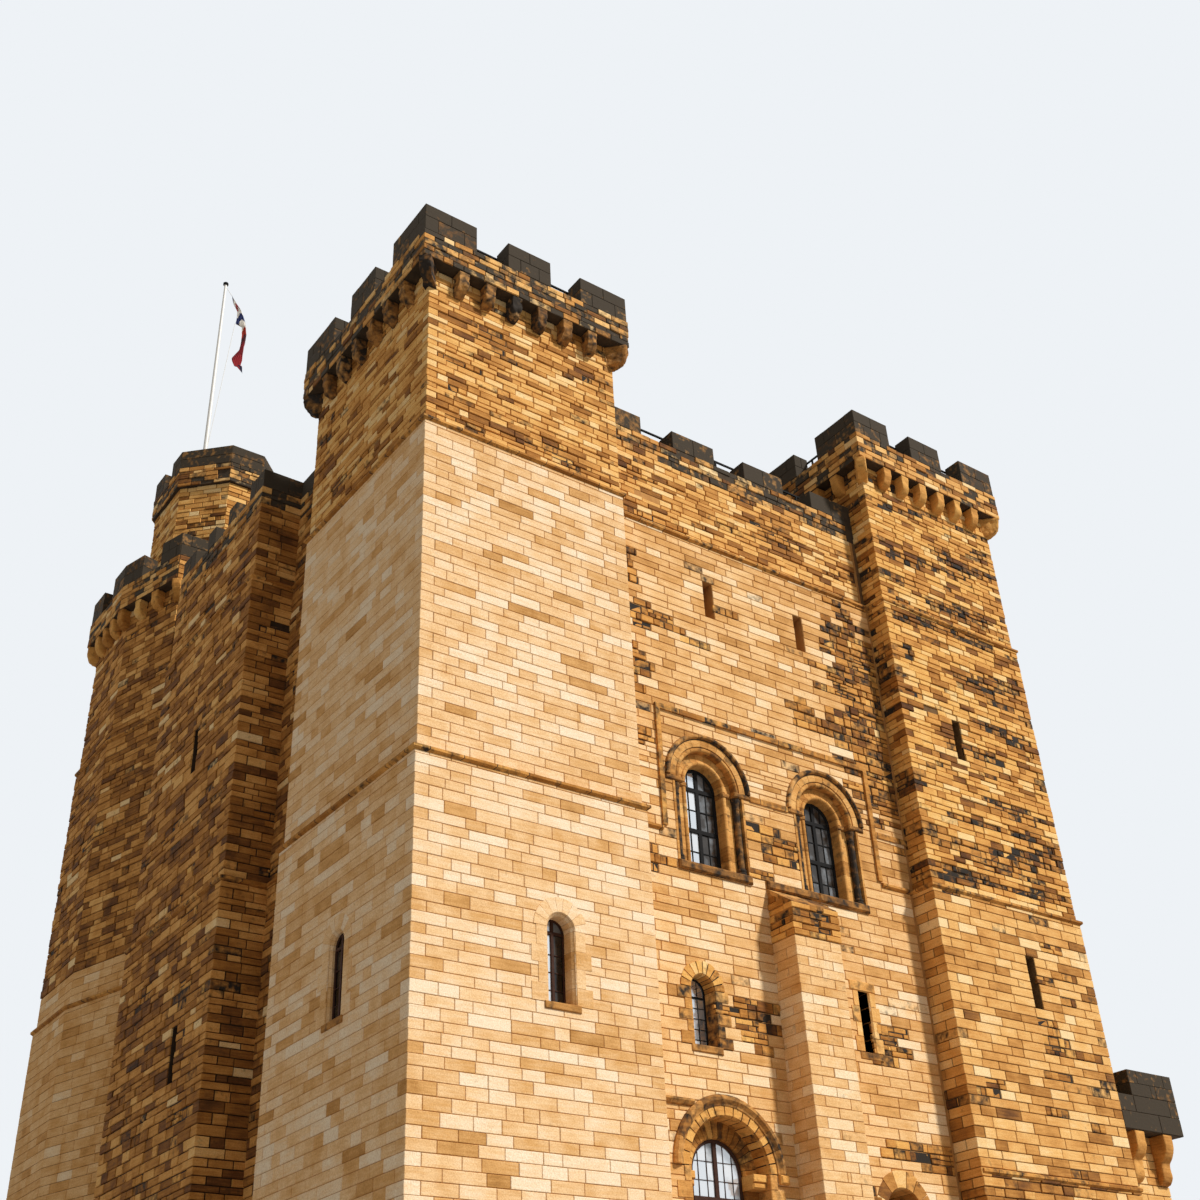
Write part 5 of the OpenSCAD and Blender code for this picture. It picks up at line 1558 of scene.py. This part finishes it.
add_turned(bm, on_wall((pole_low.x + pole_high.x) / 2, (pole_low.y + pole_high.y) / 2, (0, -1)),
           0, 0, [(0.05, pole_high.z - 0.12), (0.085, pole_high.z - 0.09),
                  (0.085, pole_high.z - 0.03), (0.05, pole_high.z)], (0, 0, 0), 12)
hoops = bm


# Mortar, paving, iron and paint
# What the modelled walls show between and behind their stones is the lime mortar that beds them.
# Decks and the tops of walls are paved, string courses and plinths are marked off into stones,
# and railings, flagpole and floors get their iron, white paint and oak boards.
def plain_material(name, low, high, scale, roughness, bump):
    """A plain two-tone finish with a fine grain."""
    material, tree, shader = new_material(name)
    grain = noise_over(tree, scale, 8)
    mix = tree.nodes.new("ShaderNodeMix")
    mix.data_type = "RGBA"
    mix.inputs["A"].default_value = colour(low)
    mix.inputs["B"].default_value = colour(high)
    tree.links.new(grain, mix.inputs["Factor"])
    tree.links.new(mix.outputs["Result"], shader.inputs["Base Color"])
    add_relief(tree, shader, grain, bump, 0.02)
    shader.inputs["Roughness"].default_value = roughness
    shader.inputs["Specular IOR Level"].default_value = 0.2
    return material


def give(names, material):
    """Puts one material on CAD nodes."""
    for name in names:
        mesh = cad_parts[name].data
        mesh.materials.clear()
        mesh.materials.append(material)


mortar = plain_material("mortar", "4a3420", "8a6a44", 9.0, 0.95, 0.6)
dark_mortar = plain_material("dark_mortar", "1c140e", "4a3828", 9.0, 0.95, 0.8)
light_mortar = plain_material("light_mortar", "9a683a", "cc9858", 9.0, 0.95, 0.4)
moulded = stone_shader("moulded_stone", renewed_tones, old_tones, "2a231c", joints=0.66,
                       own_tone=0.5, own_soot=0.36)
plinth_stone = stone_shader("plinth_stone", renewed_tones, old_tones, "2a231c", joints=0.62,
                            beds=("Z", 0.3), own_tone=0.55, own_soot=0.2)
grey_tones = [(0.0, "3c3a36"), (0.5, "8a857a"), (1.0, "bdb6a8")]
paving = stone_shader("paving", grey_tones, grey_tones, "2a2722", joints=0.75,
                      beds=("Y", 0.6), own_tone=0.5, own_soot=0.15)
black_stone = plain_material("black_stone", "15110d", "5a4a38", 5.0, 0.92, 0.6)
white_paint = plain_material("white_paint", "d8d6d0", "f0efea", 20.0, 0.3, 0.1)
boards = plain_material("boards", "3a2818", "5c4026", 6.0, 0.7, 0.4)
give(["sw_tower", "south_wall", "south_buttress"], light_mortar)
give(["se_tower", "ne_tower", "nw_tower",
      "east_wall_lower", "east_wall_upper", "stair_cap", "forebuilding_walls"], mortar)
give(["south_plinth", "west_plinth", "north_plinth", "east_plinth"], plinth_stone)
give(["west_pier", "north_pier", "west_wall_lower", "west_wall_upper", "north_wall"], dark_mortar)
give(["label_moulding", "string_courses"], moulded)
iron = plain_material("iron", "080808", "151312", 30.0, 0.85, 0.2)
rust = plain_material("rusty_bars", "1d110b", "4a2a1a", 18.0, 0.75, 0.4)
carved_piece(hoops, "hoops", material=iron)
carved_piece(bars, "window_bars", material=iron)
carved_piece(rusty_bars, "rusty_window_bars", material=rust)
carved_piece(panes, "window_panes", ("window_glass",), glass_with_painted_reflection())
give([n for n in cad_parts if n.endswith("_parapet")], black_stone)
give(["wall_railings", "tower_railings"], iron)
give(["flagpole", "halyard"], white_paint)
give(["roof_deck", "tower_decks", "forebuilding_deck", "forebuilding_floor", "ground_floor"],
     paving)
give(["first_floor", "second_floor", "hall_floor"], boards)
paved_tops = ((21, ["south_wall", "west_wall_upper", "north_wall", "east_wall_upper",
                    "west_pier", "north_pier"]),
              (23, ["sw_tower", "se_tower", "ne_tower", "nw_tower"]),
              (27, ["stair_cap"]), (8, ["forebuilding_walls"]))
for above, names in paved_tops:
    for name in names:
        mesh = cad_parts[name].data
        mesh.materials.append(paving)
        for polygon in mesh.polygons:
            if polygon.normal.z > 0.9 and polygon.center.z > above:
                polygon.material_index = 1
